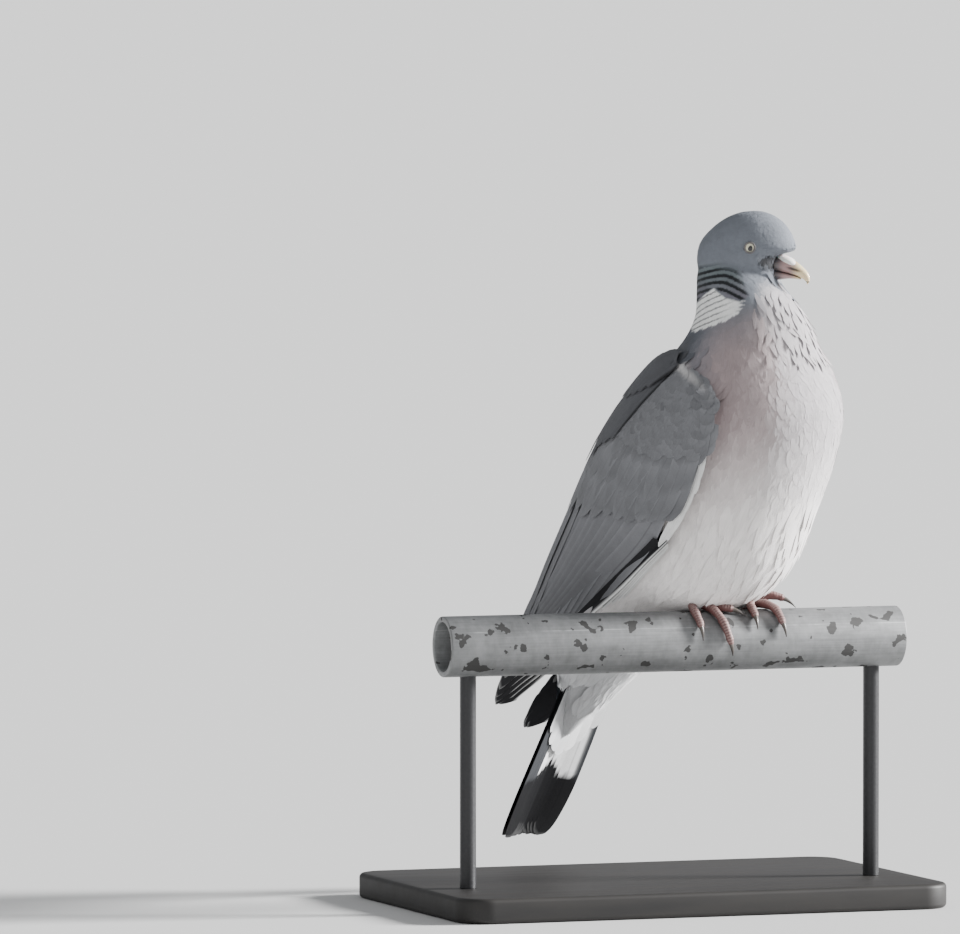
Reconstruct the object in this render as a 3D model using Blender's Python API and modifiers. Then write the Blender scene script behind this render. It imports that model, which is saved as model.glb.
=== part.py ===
"""A common wood pigeon at life size, perched on a cut length of handrail tube on a plain display stand.

Metres, +Z up. The origin is the middle of the stand base's underside. The rail runs along X and the
bird faces towards -Y and +X. The bird is modelled in its own frame, +X forward and +Y to its left, whose
origin is on top of the rail between the feet, and the head in its own frame, turned to the bird's left.
"""

import math

import bmesh
import bpy
import numpy as np
from mathutils import Matrix, Vector

# Stand and perch
BASE_LENGTH, BASE_DEPTH, BASE_THICKNESS = 0.290, 0.190, 0.014
BASE_CORNER = 0.018
BASE_EDGE = 0.0025
RAIL_DIAMETER, RAIL_LENGTH, RAIL_END_EDGE = 0.0337, 0.270, 0.0012
RAIL_TOP = 0.165
RAIL_Y = -0.030
ROD_DIAMETER, ROD_X = 0.009, 0.120
RAIL_RADIUS = RAIL_DIAMETER / 2
RAIL_AXIS_Z = RAIL_TOP - RAIL_RADIUS

# How the bird stands and how its head is turned
FEET_X = 0.040
BIRD_HEADING = math.radians(-60)
HEAD_CENTRE = Vector((0.0070, 0.0, 0.2000))
HEAD_TURN = math.radians(28)

GAP = 0.0003
WING_GAP = 0.0010
RING_POINTS = 24
CUTTER_REACH = 0.030

# Trunk and neck: the point on the back and the point on the belly (x, z) of each section, its half
# width, and how many degrees it is turned to the left.
BODY_SECTIONS = (
    ((-0.1330, -0.0740), (-0.1220, -0.0790), 0.0060, 0),
    ((-0.1250, -0.0580), (-0.1080, -0.0660), 0.0140, 0),
    ((-0.1215, -0.0400), (-0.0940, -0.0530), 0.0220, 0),
    ((-0.1170, -0.0200), (-0.0780, -0.0400), 0.0300, 0),
    ((-0.1120, 0.0020), (-0.0560, -0.0240), 0.0370, 0),
    ((-0.1050, 0.0240), (-0.0280, -0.0080), 0.0430, 0),
    ((-0.0970, 0.0460), (0.0020, 0.0020), 0.0480, 0),
    ((-0.0880, 0.0680), (0.0270, 0.0220), 0.0510, 0),
    ((-0.0770, 0.0900), (0.0430, 0.0520), 0.0530, 0),
    ((-0.0650, 0.1090), (0.0560, 0.0820), 0.0530, 0),
    ((-0.0520, 0.1250), (0.0620, 0.1080), 0.0510, 0),
    ((-0.0390, 0.1390), (0.0570, 0.1290), 0.0450, 2),
    ((-0.0280, 0.1520), (0.0490, 0.1430), 0.0370, 4),
    ((-0.0230, 0.1640), (0.0440, 0.1560), 0.0295, 8),
    ((-0.0225, 0.1770), (0.0350, 0.1710), 0.0240, 15),
    ((-0.0210, 0.1900), (0.0220, 0.1850), 0.0185, 22),
    ((-0.0100, 0.2020), (0.0130, 0.2000), 0.0110, 28),
)
BODY_RINGS = 23
NECK_BASE_POINT, NECK_BASE_NORMAL = Vector((0.015, 0, 0.152)), Vector((0.10, 0, 1))
NECK_TOP_POINT, NECK_TOP_NORMAL = Vector((0.008, 0, 0.184)), Vector((0.20, 0, 1))

# Head, in its own frame: distance forward, top, bottom and half width of each section.
HEAD_SECTIONS = (
    (-0.0285, 0.0000, -0.0080, 0.0035),
    (-0.0265, 0.0055, -0.0150, 0.0090),
    (-0.0215, 0.0115, -0.0185, 0.0128),
    (-0.0140, 0.0174, -0.0200, 0.0152),
    (-0.0050, 0.0213, -0.0200, 0.0162),
    (0.0050, 0.0223, -0.0195, 0.0162),
    (0.0125, 0.0206, -0.0183, 0.0148),
    (0.0190, 0.0166, -0.0155, 0.0124),
    (0.0232, 0.0115, -0.0095, 0.0094),
    (0.0256, 0.0065, -0.0040, 0.0062),
    (0.0268, 0.0028, -0.0004, 0.0026),
)
HEAD_RINGS = 14
HEAD_POINTS = 22
EYE_CENTRE, EYE_RADIUS = Vector((0.0035, 0.0124, 0.0021)), 0.0046

# Bill, in the head's frame: top and bottom point (x, z) and half width of each section.
BILL_UPPER_SECTIONS = (
    ((0.0137, -0.0045), (0.0127, -0.0102), 0.0044),
    ((0.0187, -0.0034), (0.0177, -0.0113), 0.0046),
    ((0.0230, -0.0036), (0.0222, -0.0124), 0.0040),
    ((0.0273, -0.0060), (0.0257, -0.0134), 0.0033),
    ((0.0309, -0.0089), (0.0282, -0.0140), 0.0027),
    ((0.0337, -0.0120), (0.0302, -0.0149), 0.0021),
    ((0.0347, -0.0146), (0.0317, -0.0160), 0.0015),
    ((0.0346, -0.0168), (0.0327, -0.0172), 0.0008),
    ((0.0337, -0.0184), (0.0332, -0.0184), 0.0003),
)
BILL_LOWER_SECTIONS = (
    ((0.0129, -0.0110), (0.0137, -0.0163), 0.0041),
    ((0.0177, -0.0119), (0.0185, -0.0159), 0.0038),
    ((0.0222, -0.0130), (0.0229, -0.0154), 0.0032),
    ((0.0257, -0.0140), (0.0262, -0.0155), 0.0024),
    ((0.0281, -0.0146), (0.0285, -0.0158), 0.0015),
    ((0.0293, -0.0153), (0.0296, -0.0160), 0.0006),
)
BILL_RINGS = 10
BILL_POINTS = 12
CERE_CENTRE, CERE_RADII = Vector((0.0239, 0.0, -0.0052)), (0.0048, 0.0040, 0.0024)
CERE_DIP = math.radians(32)

# Right wing: the edge along the back, the leading edge, the bulge between them and the thickness.
WING_SECTIONS = (
    ((-0.010, -0.038, 0.1410), (0.004, -0.045, 0.1360), 0.001, 0.0045),
    ((-0.030, -0.030, 0.1370), (0.026, -0.053, 0.1170), 0.006, 0.0080),
    ((-0.054, -0.024, 0.1200), (0.028, -0.056, 0.0970), 0.012, 0.0090),
    ((-0.076, -0.019, 0.0980), (0.015, -0.056, 0.0740), 0.015, 0.0090),
    ((-0.094, -0.016, 0.0740), (-0.003, -0.055, 0.0510), 0.014, 0.0085),
    ((-0.110, -0.014, 0.0480), (-0.024, -0.051, 0.0340), 0.012, 0.0070),
    ((-0.124, -0.013, 0.0220), (-0.054, -0.045, 0.0150), 0.009, 0.0060),
    ((-0.136, -0.013, -0.0020), (-0.085, -0.036, -0.0030), 0.006, 0.0050),
    ((-0.145, -0.014, -0.0170), (-0.117, -0.026, -0.0190), 0.003, 0.0035),
    ((-0.150, -0.016, -0.0250), (-0.140, -0.020, -0.0275), 0.001, 0.0020),
)
# Its folded flight feathers, which show below the leading edge and run on to the wing's tip.
WINGTIP_SECTIONS = (
    ((-0.0030, -0.0545, 0.0440), (-0.0060, -0.0540, 0.0395), 0.0, 0.0025),
    ((-0.0260, -0.0500, 0.0300), (-0.0310, -0.0485, 0.0200), 0.0, 0.0035),
    ((-0.0560, -0.0440, 0.0115), (-0.0610, -0.0390, -0.0010), 0.0, 0.0035),
    ((-0.0880, -0.0345, -0.0070), (-0.0930, -0.0290, -0.0210), 0.0, 0.0035),
    ((-0.1200, -0.0245, -0.0240), (-0.1240, -0.0200, -0.0390), 0.0, 0.0032),
    ((-0.1450, -0.0170, -0.0360), (-0.1420, -0.0155, -0.0500), 0.0, 0.0028),
    ((-0.1610, -0.0130, -0.0480), (-0.1560, -0.0130, -0.0580), 0.0, 0.0022),
    ((-0.1680, -0.0120, -0.0565), (-0.1640, -0.0120, -0.0610), 0.0, 0.0015),
)
WING_RINGS, WING_POINTS = 15, 8
WINGTIP_RINGS, WINGTIP_POINTS = 12, 3
LEFT_WING_DROOP, LEFT_WING_CLOSE = math.radians(-3.8), math.radians(2.2)
LEFT_WING_SHIFT = Vector((-0.0085, 0, -0.0030))
WING_HINGE = Vector((0.010, 0, 0.130))

# Tail: points along its middle (x, z), with the half width, the thickness and how far its edges turn down.
TAIL_SECTIONS = (
    ((-0.0960, -0.0120), 0.0140, 0.0040, math.radians(20)),
    ((-0.1050, -0.0300), 0.0205, 0.0042, math.radians(22)),
    ((-0.1120, -0.0450), 0.0240, 0.0040, math.radians(24)),
    ((-0.1230, -0.0665), 0.0250, 0.0034, math.radians(26)),
    ((-0.1340, -0.0875), 0.0250, 0.0028, math.radians(26)),
    ((-0.1450, -0.1085), 0.0242, 0.0022, math.radians(24)),
    ((-0.1540, -0.1255), 0.0205, 0.0016, math.radians(20)),
    ((-0.1590, -0.1345), 0.0130, 0.0010, math.radians(14)),
)
TAIL_RINGS, TAIL_POINTS = 13, 9

# Feet: where each palm sits and each toe runs, as (distance along the rail, angle round it from the top
# towards the front), with a last value for how far the toe's middle stands off the rail.
PALM_ANGLE = math.radians(-16)
PALM_RADIUS = 0.0048
FEET = {
    "right": {
        "palm": -0.0235,
        "toes": {
            "inner": ((-0.0140, 12), (-0.0060, 25), 0.0),
            "middle": ((-0.0165, 42), (-0.0115, 93), 0.0),
            "outer": ((-0.0295, 20), (-0.0285, 64), 0.0),
            "hind": ((-0.0270, -50), (-0.0290, -78), 0.0),
        },
    },
    "left": {
        "palm": 0.0100,
        "toes": {
            "inner": ((0.0055, 15), (0.0052, 46), 0.0),
            "middle": ((0.0175, 18), (0.0205, 61), 0.0),
            "outer": ((0.0190, -6), (0.0275, 0), 0.0030),
            "hind": ((0.0070, -50), (0.0050, -78), 0.0),
        },
    },
}
TOE_ROOT_RADIUS, TOE_END_RADIUS = 0.0027, 0.0021
TOE_RINGS, TOE_SIDES = 7, 8
CLAW_LENGTH, CLAW_RADIUS, CLAW_TIP_RADIUS = 0.0078, 0.0014, 0.0003
CLAW_RINGS, CLAW_SIDES = 5, 6
SHANK_RADIUS, SHANK_LENGTH, SHANK_LEAN = 0.0024, 0.026, math.radians(30)
FOOT_ROOM_START, FOOT_ROOM_END, FOOT_ROOM_RISE = -0.036, 0.034, 0.0030

FINISHES = {
    "plumage": ((0.33, 0.35, 0.38), 0.85, 0.0),
    "wing": ((0.22, 0.23, 0.26), 0.80, 0.0),
    "tail": ((0.20, 0.20, 0.22), 0.80, 0.0),
    "horn": ((0.78, 0.62, 0.36), 0.45, 0.0),
    "cere": ((0.86, 0.84, 0.80), 0.60, 0.0),
    "eye": ((0.70, 0.66, 0.44), 0.15, 0.0),
    "foot": ((0.52, 0.24, 0.24), 0.60, 0.0),
    "claw": ((0.12, 0.10, 0.09), 0.40, 0.0),
    "rail": ((0.52, 0.53, 0.53), 0.50, 0.4),
    "board": ((0.06, 0.06, 0.06), 0.45, 0.0),
    "rod": ((0.08, 0.08, 0.09), 0.40, 0.6),
}


def clear_scene():
    """Removes whatever the scene holds."""
    for thing in list(bpy.data.objects):
        bpy.data.objects.remove(thing)


def new_collection(name):
    """A collection in the scene; the cutters' one is left out of renders."""
    collection = bpy.data.collections.new(name)
    bpy.context.scene.collection.children.link(collection)
    return collection


def finish_named(name):
    """The Principled material of that name, made the first time it is asked for."""
    found = bpy.data.materials.get(name)
    if found:
        return found
    colour, roughness, metallic = FINISHES[name]
    made = bpy.data.materials.new(name)
    made.use_nodes = True
    shader = made.node_tree.nodes["Principled BSDF"]
    shader.inputs["Base Color"].default_value = (*colour, 1)
    shader.inputs["Roughness"].default_value = roughness
    shader.inputs["Metallic"].default_value = metallic
    return made


class Workshop:
    """Puts finished pieces and cutters where they belong."""

    def __init__(self):
        self.parts = new_collection("wood_pigeon")
        self.cutters = new_collection("cutters")
        self.cutters.hide_render = True
        self.bird = self.frame("bird", None, (FEET_X, RAIL_Y, RAIL_TOP), (0, 0, BIRD_HEADING))
        self.head = self.frame("head_frame", self.bird, HEAD_CENTRE, (0, 0, HEAD_TURN))

    def frame(self, name, parent, location, rotation):
        """An empty that carries the pieces modelled in its frame."""
        empty = bpy.data.objects.new(name, None)
        empty.location, empty.rotation_euler, empty.parent = location, rotation, parent
        self.parts.objects.link(empty)
        return empty

    def part(self, name, mesh, finish, parent=None):
        """A finished piece of the object."""
        piece = bpy.data.objects.new(name, mesh)
        piece.parent = parent
        mesh.materials.clear()
        mesh.materials.append(finish_named(finish))
        mesh.shade_smooth()
        mesh.set_sharp_from_angle(angle=math.radians(50))
        self.parts.objects.link(piece)
        return piece

    def cutter(self, name, mesh, parent=None):
        """A helper for a Boolean, which isn't part of the object."""
        helper = bpy.data.objects.new(name, mesh)
        helper.parent = parent
        helper.hide_render = True
        helper.display_type = "WIRE"
        self.cutters.objects.link(helper)
        return helper


def boolean(piece, other, operation):
    """Adds a Boolean of the piece with the other object."""
    modifier = piece.modifiers.new(f"{operation.lower()}_{other.name}", "BOOLEAN")
    modifier.operation = operation
    modifier.solver = "EXACT"
    modifier.object = other


def smooth_rows(rows, count):
    """A smooth curve through rows of numbers: count rows, evenly spread between the given ones."""
    rows = np.asarray(rows, float)
    held = np.vstack([2 * rows[0] - rows[1], rows, 2 * rows[-1] - rows[-2]])
    at = np.linspace(0, len(rows) - 1, count)
    low = np.minimum(at.astype(int), len(rows) - 2)
    t = (at - low)[:, None]
    before, start, end, after = (held[low + k] for k in range(4))
    bend = 2 * before - 5 * start + 4 * end - after
    twist = 3 * start - before - 3 * end + after
    return 0.5 * (2 * start + (end - before) * t + bend * t**2 + twist * t**3)


def lofted(name, rings):
    """A closed mesh through rings of points, all with the same number, and a flat face over each end."""
    shape = bmesh.new()
    rows = [[shape.verts.new(point) for point in ring] for ring in rings]
    for row, following in zip(rows, rows[1:]):
        for i in range(len(row)):
            j = (i + 1) % len(row)
            shape.faces.new((row[i], row[j], following[j], following[i]))
    shape.faces.new(rows[0])
    shape.faces.new(rows[-1])
    bmesh.ops.recalc_face_normals(shape, faces=shape.faces)
    mesh = bpy.data.meshes.new(name)
    shape.to_mesh(mesh)
    shape.free()
    return mesh


def box_mesh(name, size, place=Matrix.Identity(4)):
    """A box of that size, its middle at the given place."""
    shape = bmesh.new()
    bmesh.ops.create_cube(shape, size=1, matrix=place @ Matrix.Diagonal((*size, 1)))
    mesh = bpy.data.meshes.new(name)
    shape.to_mesh(mesh)
    shape.free()
    return mesh


def ball_mesh(name, centre, radii, segments=14, rings=8, dip=0.0):
    """An ellipsoid with its poles along Z, dipped forwards by an angle."""
    shape = bmesh.new()
    turn = Matrix.Rotation(dip, 4, "Y")
    place = Matrix.Translation(centre) @ turn @ Matrix.Diagonal((*radii, 1))
    bmesh.ops.create_uvsphere(shape, u_segments=segments, v_segments=rings, radius=1, matrix=place)
    mesh = bpy.data.meshes.new(name)
    shape.to_mesh(mesh)
    shape.free()
    return mesh


def rod_mesh(name, radius, low, high, segments=20):
    """A round rod between two points."""
    low, high = Vector(low), Vector(high)
    along = high - low
    turn = along.to_track_quat("Z", "Y").to_matrix().to_4x4()
    shape = bmesh.new()
    bmesh.ops.create_cone(
        shape,
        cap_ends=True,
        segments=segments,
        radius1=radius,
        radius2=radius,
        depth=along.length,
        matrix=Matrix.Translation((low + high) / 2) @ turn,
    )
    mesh = bpy.data.meshes.new(name)
    shape.to_mesh(mesh)
    shape.free()
    return mesh


def half_space(workshop, name, point, normal, parent):
    """A large box that fills the side of a plane that its normal points to."""
    normal = normal.normalized()
    size = 0.5
    turn = normal.to_track_quat("Z", "Y").to_matrix().to_4x4()
    place = Matrix.Translation(point + normal * size / 2) @ turn
    return workshop.cutter(name, box_mesh(name, (size, size, size), place), parent)


def body_rings():
    """Rings of the trunk and neck, from the rump to inside the head."""
    flat = [(*back, *belly, width, turn) for back, belly, width, turn in BODY_SECTIONS]
    angles = np.linspace(0, 2 * math.pi, RING_POINTS, endpoint=False)
    axis = Vector((HEAD_CENTRE.x, HEAD_CENTRE.y, 0))
    rings = []
    for back_x, back_z, belly_x, belly_z, width, turn in smooth_rows(flat, BODY_RINGS):
        back, belly = Vector((back_x, 0, back_z)), Vector((belly_x, 0, belly_z))
        middle, up = (back + belly) / 2, (back - belly) / 2
        twist = Matrix.Rotation(math.radians(turn), 3, "Z")
        ring = []
        for a in angles:
            side = Vector((0, width * math.sin(a), 0))
            ring.append(axis + twist @ (middle + up * math.cos(a) + side - axis))
        rings.append(ring)
    return rings


def head_rings():
    """Rings of the head, from the back of it to the feathers round the bill."""
    angles = (np.arange(HEAD_POINTS) + 0.5) * 2 * math.pi / HEAD_POINTS
    rings = []
    for x, top, bottom, width in smooth_rows(HEAD_SECTIONS, HEAD_RINGS):
        middle, half = (top + bottom) / 2, (top - bottom) / 2
        rings.append([(x, width * math.sin(a), middle + half * math.cos(a)) for a in angles])
    return rings


def bill_rings(sections, grow=0.0):
    """Rings of one half of the bill, grown by the given amount where it cuts its socket."""
    angles = np.linspace(0, 2 * math.pi, BILL_POINTS, endpoint=False)
    flat = [(*top, *bottom, width) for top, bottom, width in sections]
    rings = []
    for top_x, top_z, bottom_x, bottom_z, width in smooth_rows(flat, BILL_RINGS):
        top, bottom = Vector((top_x, 0, top_z)), Vector((bottom_x, 0, bottom_z))
        middle, up = (top + bottom) / 2, (top - bottom) / 2
        up += up.normalized() * grow
        side = Vector((0, width + grow, 0))
        rings.append([middle + up * math.cos(a) + side * math.sin(a) for a in angles])
    if grow:
        stretch_ends(rings, grow)
    return rings


def blade_rings(sections, count, points, side, grow=0.0, reach=0.0):
    """Rings of a folded wing's blade.

    side is 1 for the left wing and -1 for the right. grow widens the blade on every side, and reach
    carries its outer face outwards, which makes the cutter of the recess that it lies in.
    """
    flat = [(*upper, *lower, bulge, thick) for upper, lower, bulge, thick in sections]
    rows = smooth_rows(flat, count)
    uppers, lowers = rows[:, :3], rows[:, 3:6]
    middles = (uppers + lowers) / 2
    alongs = np.gradient(middles, axis=0)
    across_share = np.linspace(0, 1, points)
    rings = []
    for k, (upper, lower, along) in enumerate(zip(uppers, lowers, alongs)):
        bulge, thick = rows[k, 6], rows[k, 7]
        chord = Vector(lower - upper)
        chord_way = chord.normalized()
        out = Vector(along).cross(chord).normalized()
        outer, inner = [], []
        for share in across_share:
            edge = 2 * share - 1
            swell = math.sqrt(max(0.0, 1 - edge**4))
            half = thick * (0.18 + 0.32 * swell)
            base = Vector(upper) + chord * share + chord_way * (edge * grow)
            base += out * (bulge * (1 - edge * edge))
            outer.append(base + out * (half + grow + reach))
            inner.append(base - out * (half + grow))
        rings.append([mirrored(p, side) for p in outer + inner[::-1]])
    if grow:
        stretch_ends(rings, grow)
    return rings


def mirrored(point, side):
    """The point as it is for the right side, -1, or mirrored to the left, 1."""
    return Vector((point.x, -side * point.y, point.z))


def middle_of(ring):
    """The mean of a ring's points."""
    return sum(ring, Vector()) / len(ring)


def stretch_ends(rings, distance):
    """Moves the first and last rings outwards along the loft."""
    for end, nearby in ((0, 1), (-1, -2)):
        way = middle_of(rings[end]) - middle_of(rings[nearby])
        shift = way.normalized() * distance
        rings[end] = [point + shift for point in rings[end]]


def tail_rings(grow=0.0):
    """Rings of the folded tail, arched across like a roof, from its root to its tip."""
    flat = [(*place, width, thick, turn) for place, width, thick, turn in TAIL_SECTIONS]
    rows = smooth_rows(flat, TAIL_RINGS)
    alongs = np.gradient(rows[:, :2], axis=0)
    rings = []
    for (x, z, width, thick, turn), (dx, dz) in zip(rows, alongs):
        top = Vector((dz, 0, -dx)).normalized()
        radius = width / math.sin(turn)
        upper, lower = [], []
        for angle in np.linspace(-turn, turn, TAIL_POINTS):
            edge = abs(angle / turn)
            half = thick * (0.5 - 0.25 * edge**3) + grow
            stretch = 1 + grow / width
            out = top * math.cos(angle) + Vector((0, math.sin(angle), 0))
            arch = Vector((x, 0, z)) - top * radius
            point = arch + out * radius
            point.y *= stretch
            upper.append(point + out * half)
            lower.append(point - out * half)
        rings.append(upper + lower[::-1])
    if grow:
        stretch_ends(rings, grow)
    return rings


def on_rail(along, degrees, height):
    """A point that stands the given height off the rail's surface, at an angle round it from the top."""
    angle = math.radians(degrees)
    reach = RAIL_RADIUS + height
    across, up = -reach * math.sin(angle), reach * math.cos(angle)
    return Vector((FEET_X + along, RAIL_Y + across, RAIL_AXIS_Z + up))


def toe_path(palm, waypoints, lift, rings):
    """Points along a toe and the straight run of its last joint, from the palm outwards."""
    first, last = waypoints
    start = (palm, math.degrees(PALM_ANGLE))
    keys = smooth_rows([start, first, last], rings)
    stand = np.linspace(TOE_ROOT_RADIUS, TOE_END_RADIUS, rings) + GAP
    share = np.linspace(0, 1, rings)
    stand = stand + lift * np.sin(math.pi * share) + lift * share
    return [on_rail(along, angle, height) for (along, angle), height in zip(keys, stand)]


def tube_rings(points, radii, sides):
    """Round rings about a path, square to it."""
    rings = []
    for k, point in enumerate(points):
        way = points[min(k + 1, len(points) - 1)] - points[max(k - 1, 0)]
        turn = way.to_track_quat("Z", "Y").to_matrix()
        angles = np.linspace(0, 2 * math.pi, sides, endpoint=False)
        rings.append([point + turn @ Vector((math.cos(a), math.sin(a), 0)) * radii[k] for a in angles])
    return rings


def toe_radii(rings):
    """A toe's radius along its length: it tapers, swells over each joint and is rounded off."""
    share = np.linspace(0, 1, rings)
    taper = TOE_ROOT_RADIUS + (TOE_END_RADIUS - TOE_ROOT_RADIUS) * share
    joints = 1 + 0.07 * np.cos(share * 6 * math.pi)
    radii = taper * joints
    radii[-1] *= 0.8
    return radii


def claw_points(path):
    """Points along a claw, which leaves the end of the toe and hooks down to the rail."""
    end = path[-1]
    way = (path[-1] - path[-2]).normalized()
    axis_point = Vector((end.x, RAIL_Y, RAIL_AXIS_Z))
    down = (axis_point - end).normalized()
    points = []
    for share in np.linspace(0, 1, CLAW_RINGS):
        run = CLAW_LENGTH * share
        bend = run * run / CLAW_LENGTH
        points.append(end + way * (GAP + run * 0.92) + down * bend * 0.30)
    return points


def kept_off_rail(points, radii):
    """Moves the points away from the rail until a tube of these radii clears it."""
    kept = []
    for point, radius in zip(points, radii):
        axis = Vector((point.x, RAIL_Y, RAIL_AXIS_Z))
        off = point - axis
        least = RAIL_RADIUS + radius + GAP
        kept.append(axis + off.normalized() * max(off.length, least))
    return kept


def make_body(workshop):
    """Trunk, neck and head: one surface, parted by thin cuts."""
    body = lofted("trunk", body_rings())
    whole = workshop.cutter("whole_body", body.copy(), workshop.bird)
    skull = workshop.cutter("whole_head", lofted("whole_head", head_rings()), workshop.head)
    base, top = NECK_BASE_NORMAL.normalized() * GAP / 2, NECK_TOP_NORMAL.normalized() * GAP / 2
    bird = workshop.bird
    above_base = half_space(workshop, "above_base", NECK_BASE_POINT - base, NECK_BASE_NORMAL, bird)
    below_base = half_space(workshop, "below_base", NECK_BASE_POINT + base, -NECK_BASE_NORMAL, bird)
    above_top = half_space(workshop, "above_top", NECK_TOP_POINT - top, NECK_TOP_NORMAL, bird)
    below_top = half_space(workshop, "below_top", NECK_TOP_POINT + top, -NECK_TOP_NORMAL, bird)
    trunk = workshop.part("trunk", body, "plumage", bird)
    boolean(trunk, above_base, "DIFFERENCE")
    neck = workshop.part("neck", body.copy(), "plumage", bird)
    boolean(neck, skull, "UNION")
    boolean(neck, below_base, "DIFFERENCE")
    boolean(neck, above_top, "DIFFERENCE")
    head = workshop.part("head", skull.data.copy(), "plumage", workshop.head)
    boolean(head, whole, "UNION")
    boolean(head, below_top, "DIFFERENCE")
    return trunk, head


def make_face(workshop, head):
    """Eyes, bill and cere, each let into the head."""
    for side, sign in (("right", -1), ("left", 1)):
        centre = Vector((EYE_CENTRE.x, sign * EYE_CENTRE.y, EYE_CENTRE.z))
        eye = ball_mesh(f"eye_{side}", centre, (EYE_RADIUS,) * 3)
        workshop.part(f"eye_{side}", eye, "eye", workshop.head)
        socket = ball_mesh(f"socket_{side}", centre, (EYE_RADIUS + GAP,) * 3)
        boolean(head, workshop.cutter(f"socket_{side}", socket, workshop.head), "DIFFERENCE")
    grown_radii = [radius + GAP for radius in CERE_RADII]
    grown_cere = ball_mesh("cere_seat", CERE_CENTRE, grown_radii, dip=CERE_DIP)
    cere_seat = workshop.cutter("cere_seat", grown_cere, workshop.head)
    cere = ball_mesh("cere", CERE_CENTRE, CERE_RADII, dip=CERE_DIP)
    workshop.part("cere", cere, "cere", workshop.head)
    for name, sections in (("bill_upper", BILL_UPPER_SECTIONS), ("bill_lower", BILL_LOWER_SECTIONS)):
        half = workshop.part(name, lofted(name, bill_rings(sections)), "horn", workshop.head)
        seat_mesh = lofted(f"{name}_seat", bill_rings(sections, GAP))
        boolean(head, workshop.cutter(f"{name}_seat", seat_mesh, workshop.head), "DIFFERENCE")
        boolean(half, cere_seat, "DIFFERENCE")
    boolean(head, cere_seat, "DIFFERENCE")


def make_wings(workshop, trunk):
    """Both folded wings and their tips, in recesses of the trunk."""
    bird = workshop.bird
    blades = []
    for side, sign in (("right", -1), ("left", 1)):
        hang = Matrix.Identity(4)
        if side == "left":
            turn = Matrix.Rotation(LEFT_WING_DROOP, 4, "Y") @ Matrix.Rotation(LEFT_WING_CLOSE, 4, "Z")
            hinge = Matrix.Translation(WING_HINGE)
            hang = Matrix.Translation(LEFT_WING_SHIFT) @ hinge @ turn @ hinge.inverted()
        for name, sections, rings, points in (
            ("wing", WING_SECTIONS, WING_RINGS, WING_POINTS),
            ("wingtip", WINGTIP_SECTIONS, WINGTIP_RINGS, WINGTIP_POINTS),
        ):
            mesh = lofted(f"{name}_{side}", blade_rings(sections, rings, points, sign))
            recess_rings = blade_rings(sections, rings, points, sign, WING_GAP, CUTTER_REACH)
            recess_mesh = lofted(f"{name}_{side}_recess", recess_rings)
            mesh.transform(hang)
            recess_mesh.transform(hang)
            blades.append(workshop.part(f"{name}_{side}", mesh, "wing", bird))
            recess = workshop.cutter(f"{name}_{side}_recess", recess_mesh, bird)
            boolean(trunk, recess, "DIFFERENCE")
    return blades


def make_tail(workshop, trunk, blades):
    """The folded tail, its root set in the rump and the wings' tips lying against it."""
    workshop.part("tail", lofted("tail", tail_rings()), "tail", workshop.bird)
    seat = workshop.cutter("tail_seat", lofted("tail_seat", tail_rings(GAP)), workshop.bird)
    for piece in (trunk, *blades):
        boolean(piece, seat, "DIFFERENCE")


def make_foot(workshop, side, trunk):
    """One foot on the rail, its claws and the shank that rises from it into the belly's feathers."""
    foot = FEET[side]
    palm = foot["palm"]
    palm_centre = on_rail(palm, math.degrees(PALM_ANGLE), PALM_RADIUS * 0.62 + GAP)
    palm_radii = (PALM_RADIUS, PALM_RADIUS, PALM_RADIUS * 0.62)
    piece = workshop.part(f"foot_{side}", ball_mesh("palm", palm_centre, palm_radii, 12, 8), "foot")
    palm_room = ball_mesh("palm_room", palm_centre, [radius + GAP for radius in palm_radii], 12, 8)
    boolean(trunk, workshop.cutter(f"palm_room_{side}", palm_room), "DIFFERENCE")
    for toe, (first, last, lift) in foot["toes"].items():
        radii = toe_radii(TOE_RINGS)
        path = kept_off_rail(toe_path(palm, (first, last), lift, TOE_RINGS), radii)
        toe_mesh = lofted(f"toe_{side}_{toe}", tube_rings(path, radii, TOE_SIDES))
        boolean(piece, workshop.cutter(f"toe_{side}_{toe}", toe_mesh), "UNION")
        room_rings = tube_rings(path, radii + GAP, TOE_SIDES)
        stretch_ends(room_rings, GAP)
        toe_room = lofted(f"toe_room_{side}_{toe}", room_rings)
        boolean(trunk, workshop.cutter(f"toe_room_{side}_{toe}", toe_room), "DIFFERENCE")
        claw_radii = np.linspace(CLAW_RADIUS, CLAW_TIP_RADIUS, CLAW_RINGS)
        claw_path = kept_off_rail(claw_points(path), claw_radii)
        claw_mesh = lofted(f"claw_{side}_{toe}", tube_rings(claw_path, claw_radii, CLAW_SIDES))
        workshop.part(f"claw_{side}_{toe}", claw_mesh, "claw")
    lean = Vector((-math.cos(BIRD_HEADING), -math.sin(BIRD_HEADING), 0)) * math.sin(SHANK_LEAN)
    way = lean + Vector((0, 0, math.cos(SHANK_LEAN)))
    top = palm_centre + way * SHANK_LENGTH
    shank_start = palm_centre + way * (PALM_RADIUS + GAP)
    workshop.part(f"leg_{side}", rod_mesh(f"leg_{side}", SHANK_RADIUS, shank_start, top, 12), "foot")
    socket_end = top + way * GAP
    socket = rod_mesh(f"leg_{side}_socket", SHANK_RADIUS + GAP, palm_centre, socket_end, 12)
    boolean(trunk, workshop.cutter(f"leg_{side}_socket", socket), "DIFFERENCE")


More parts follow.
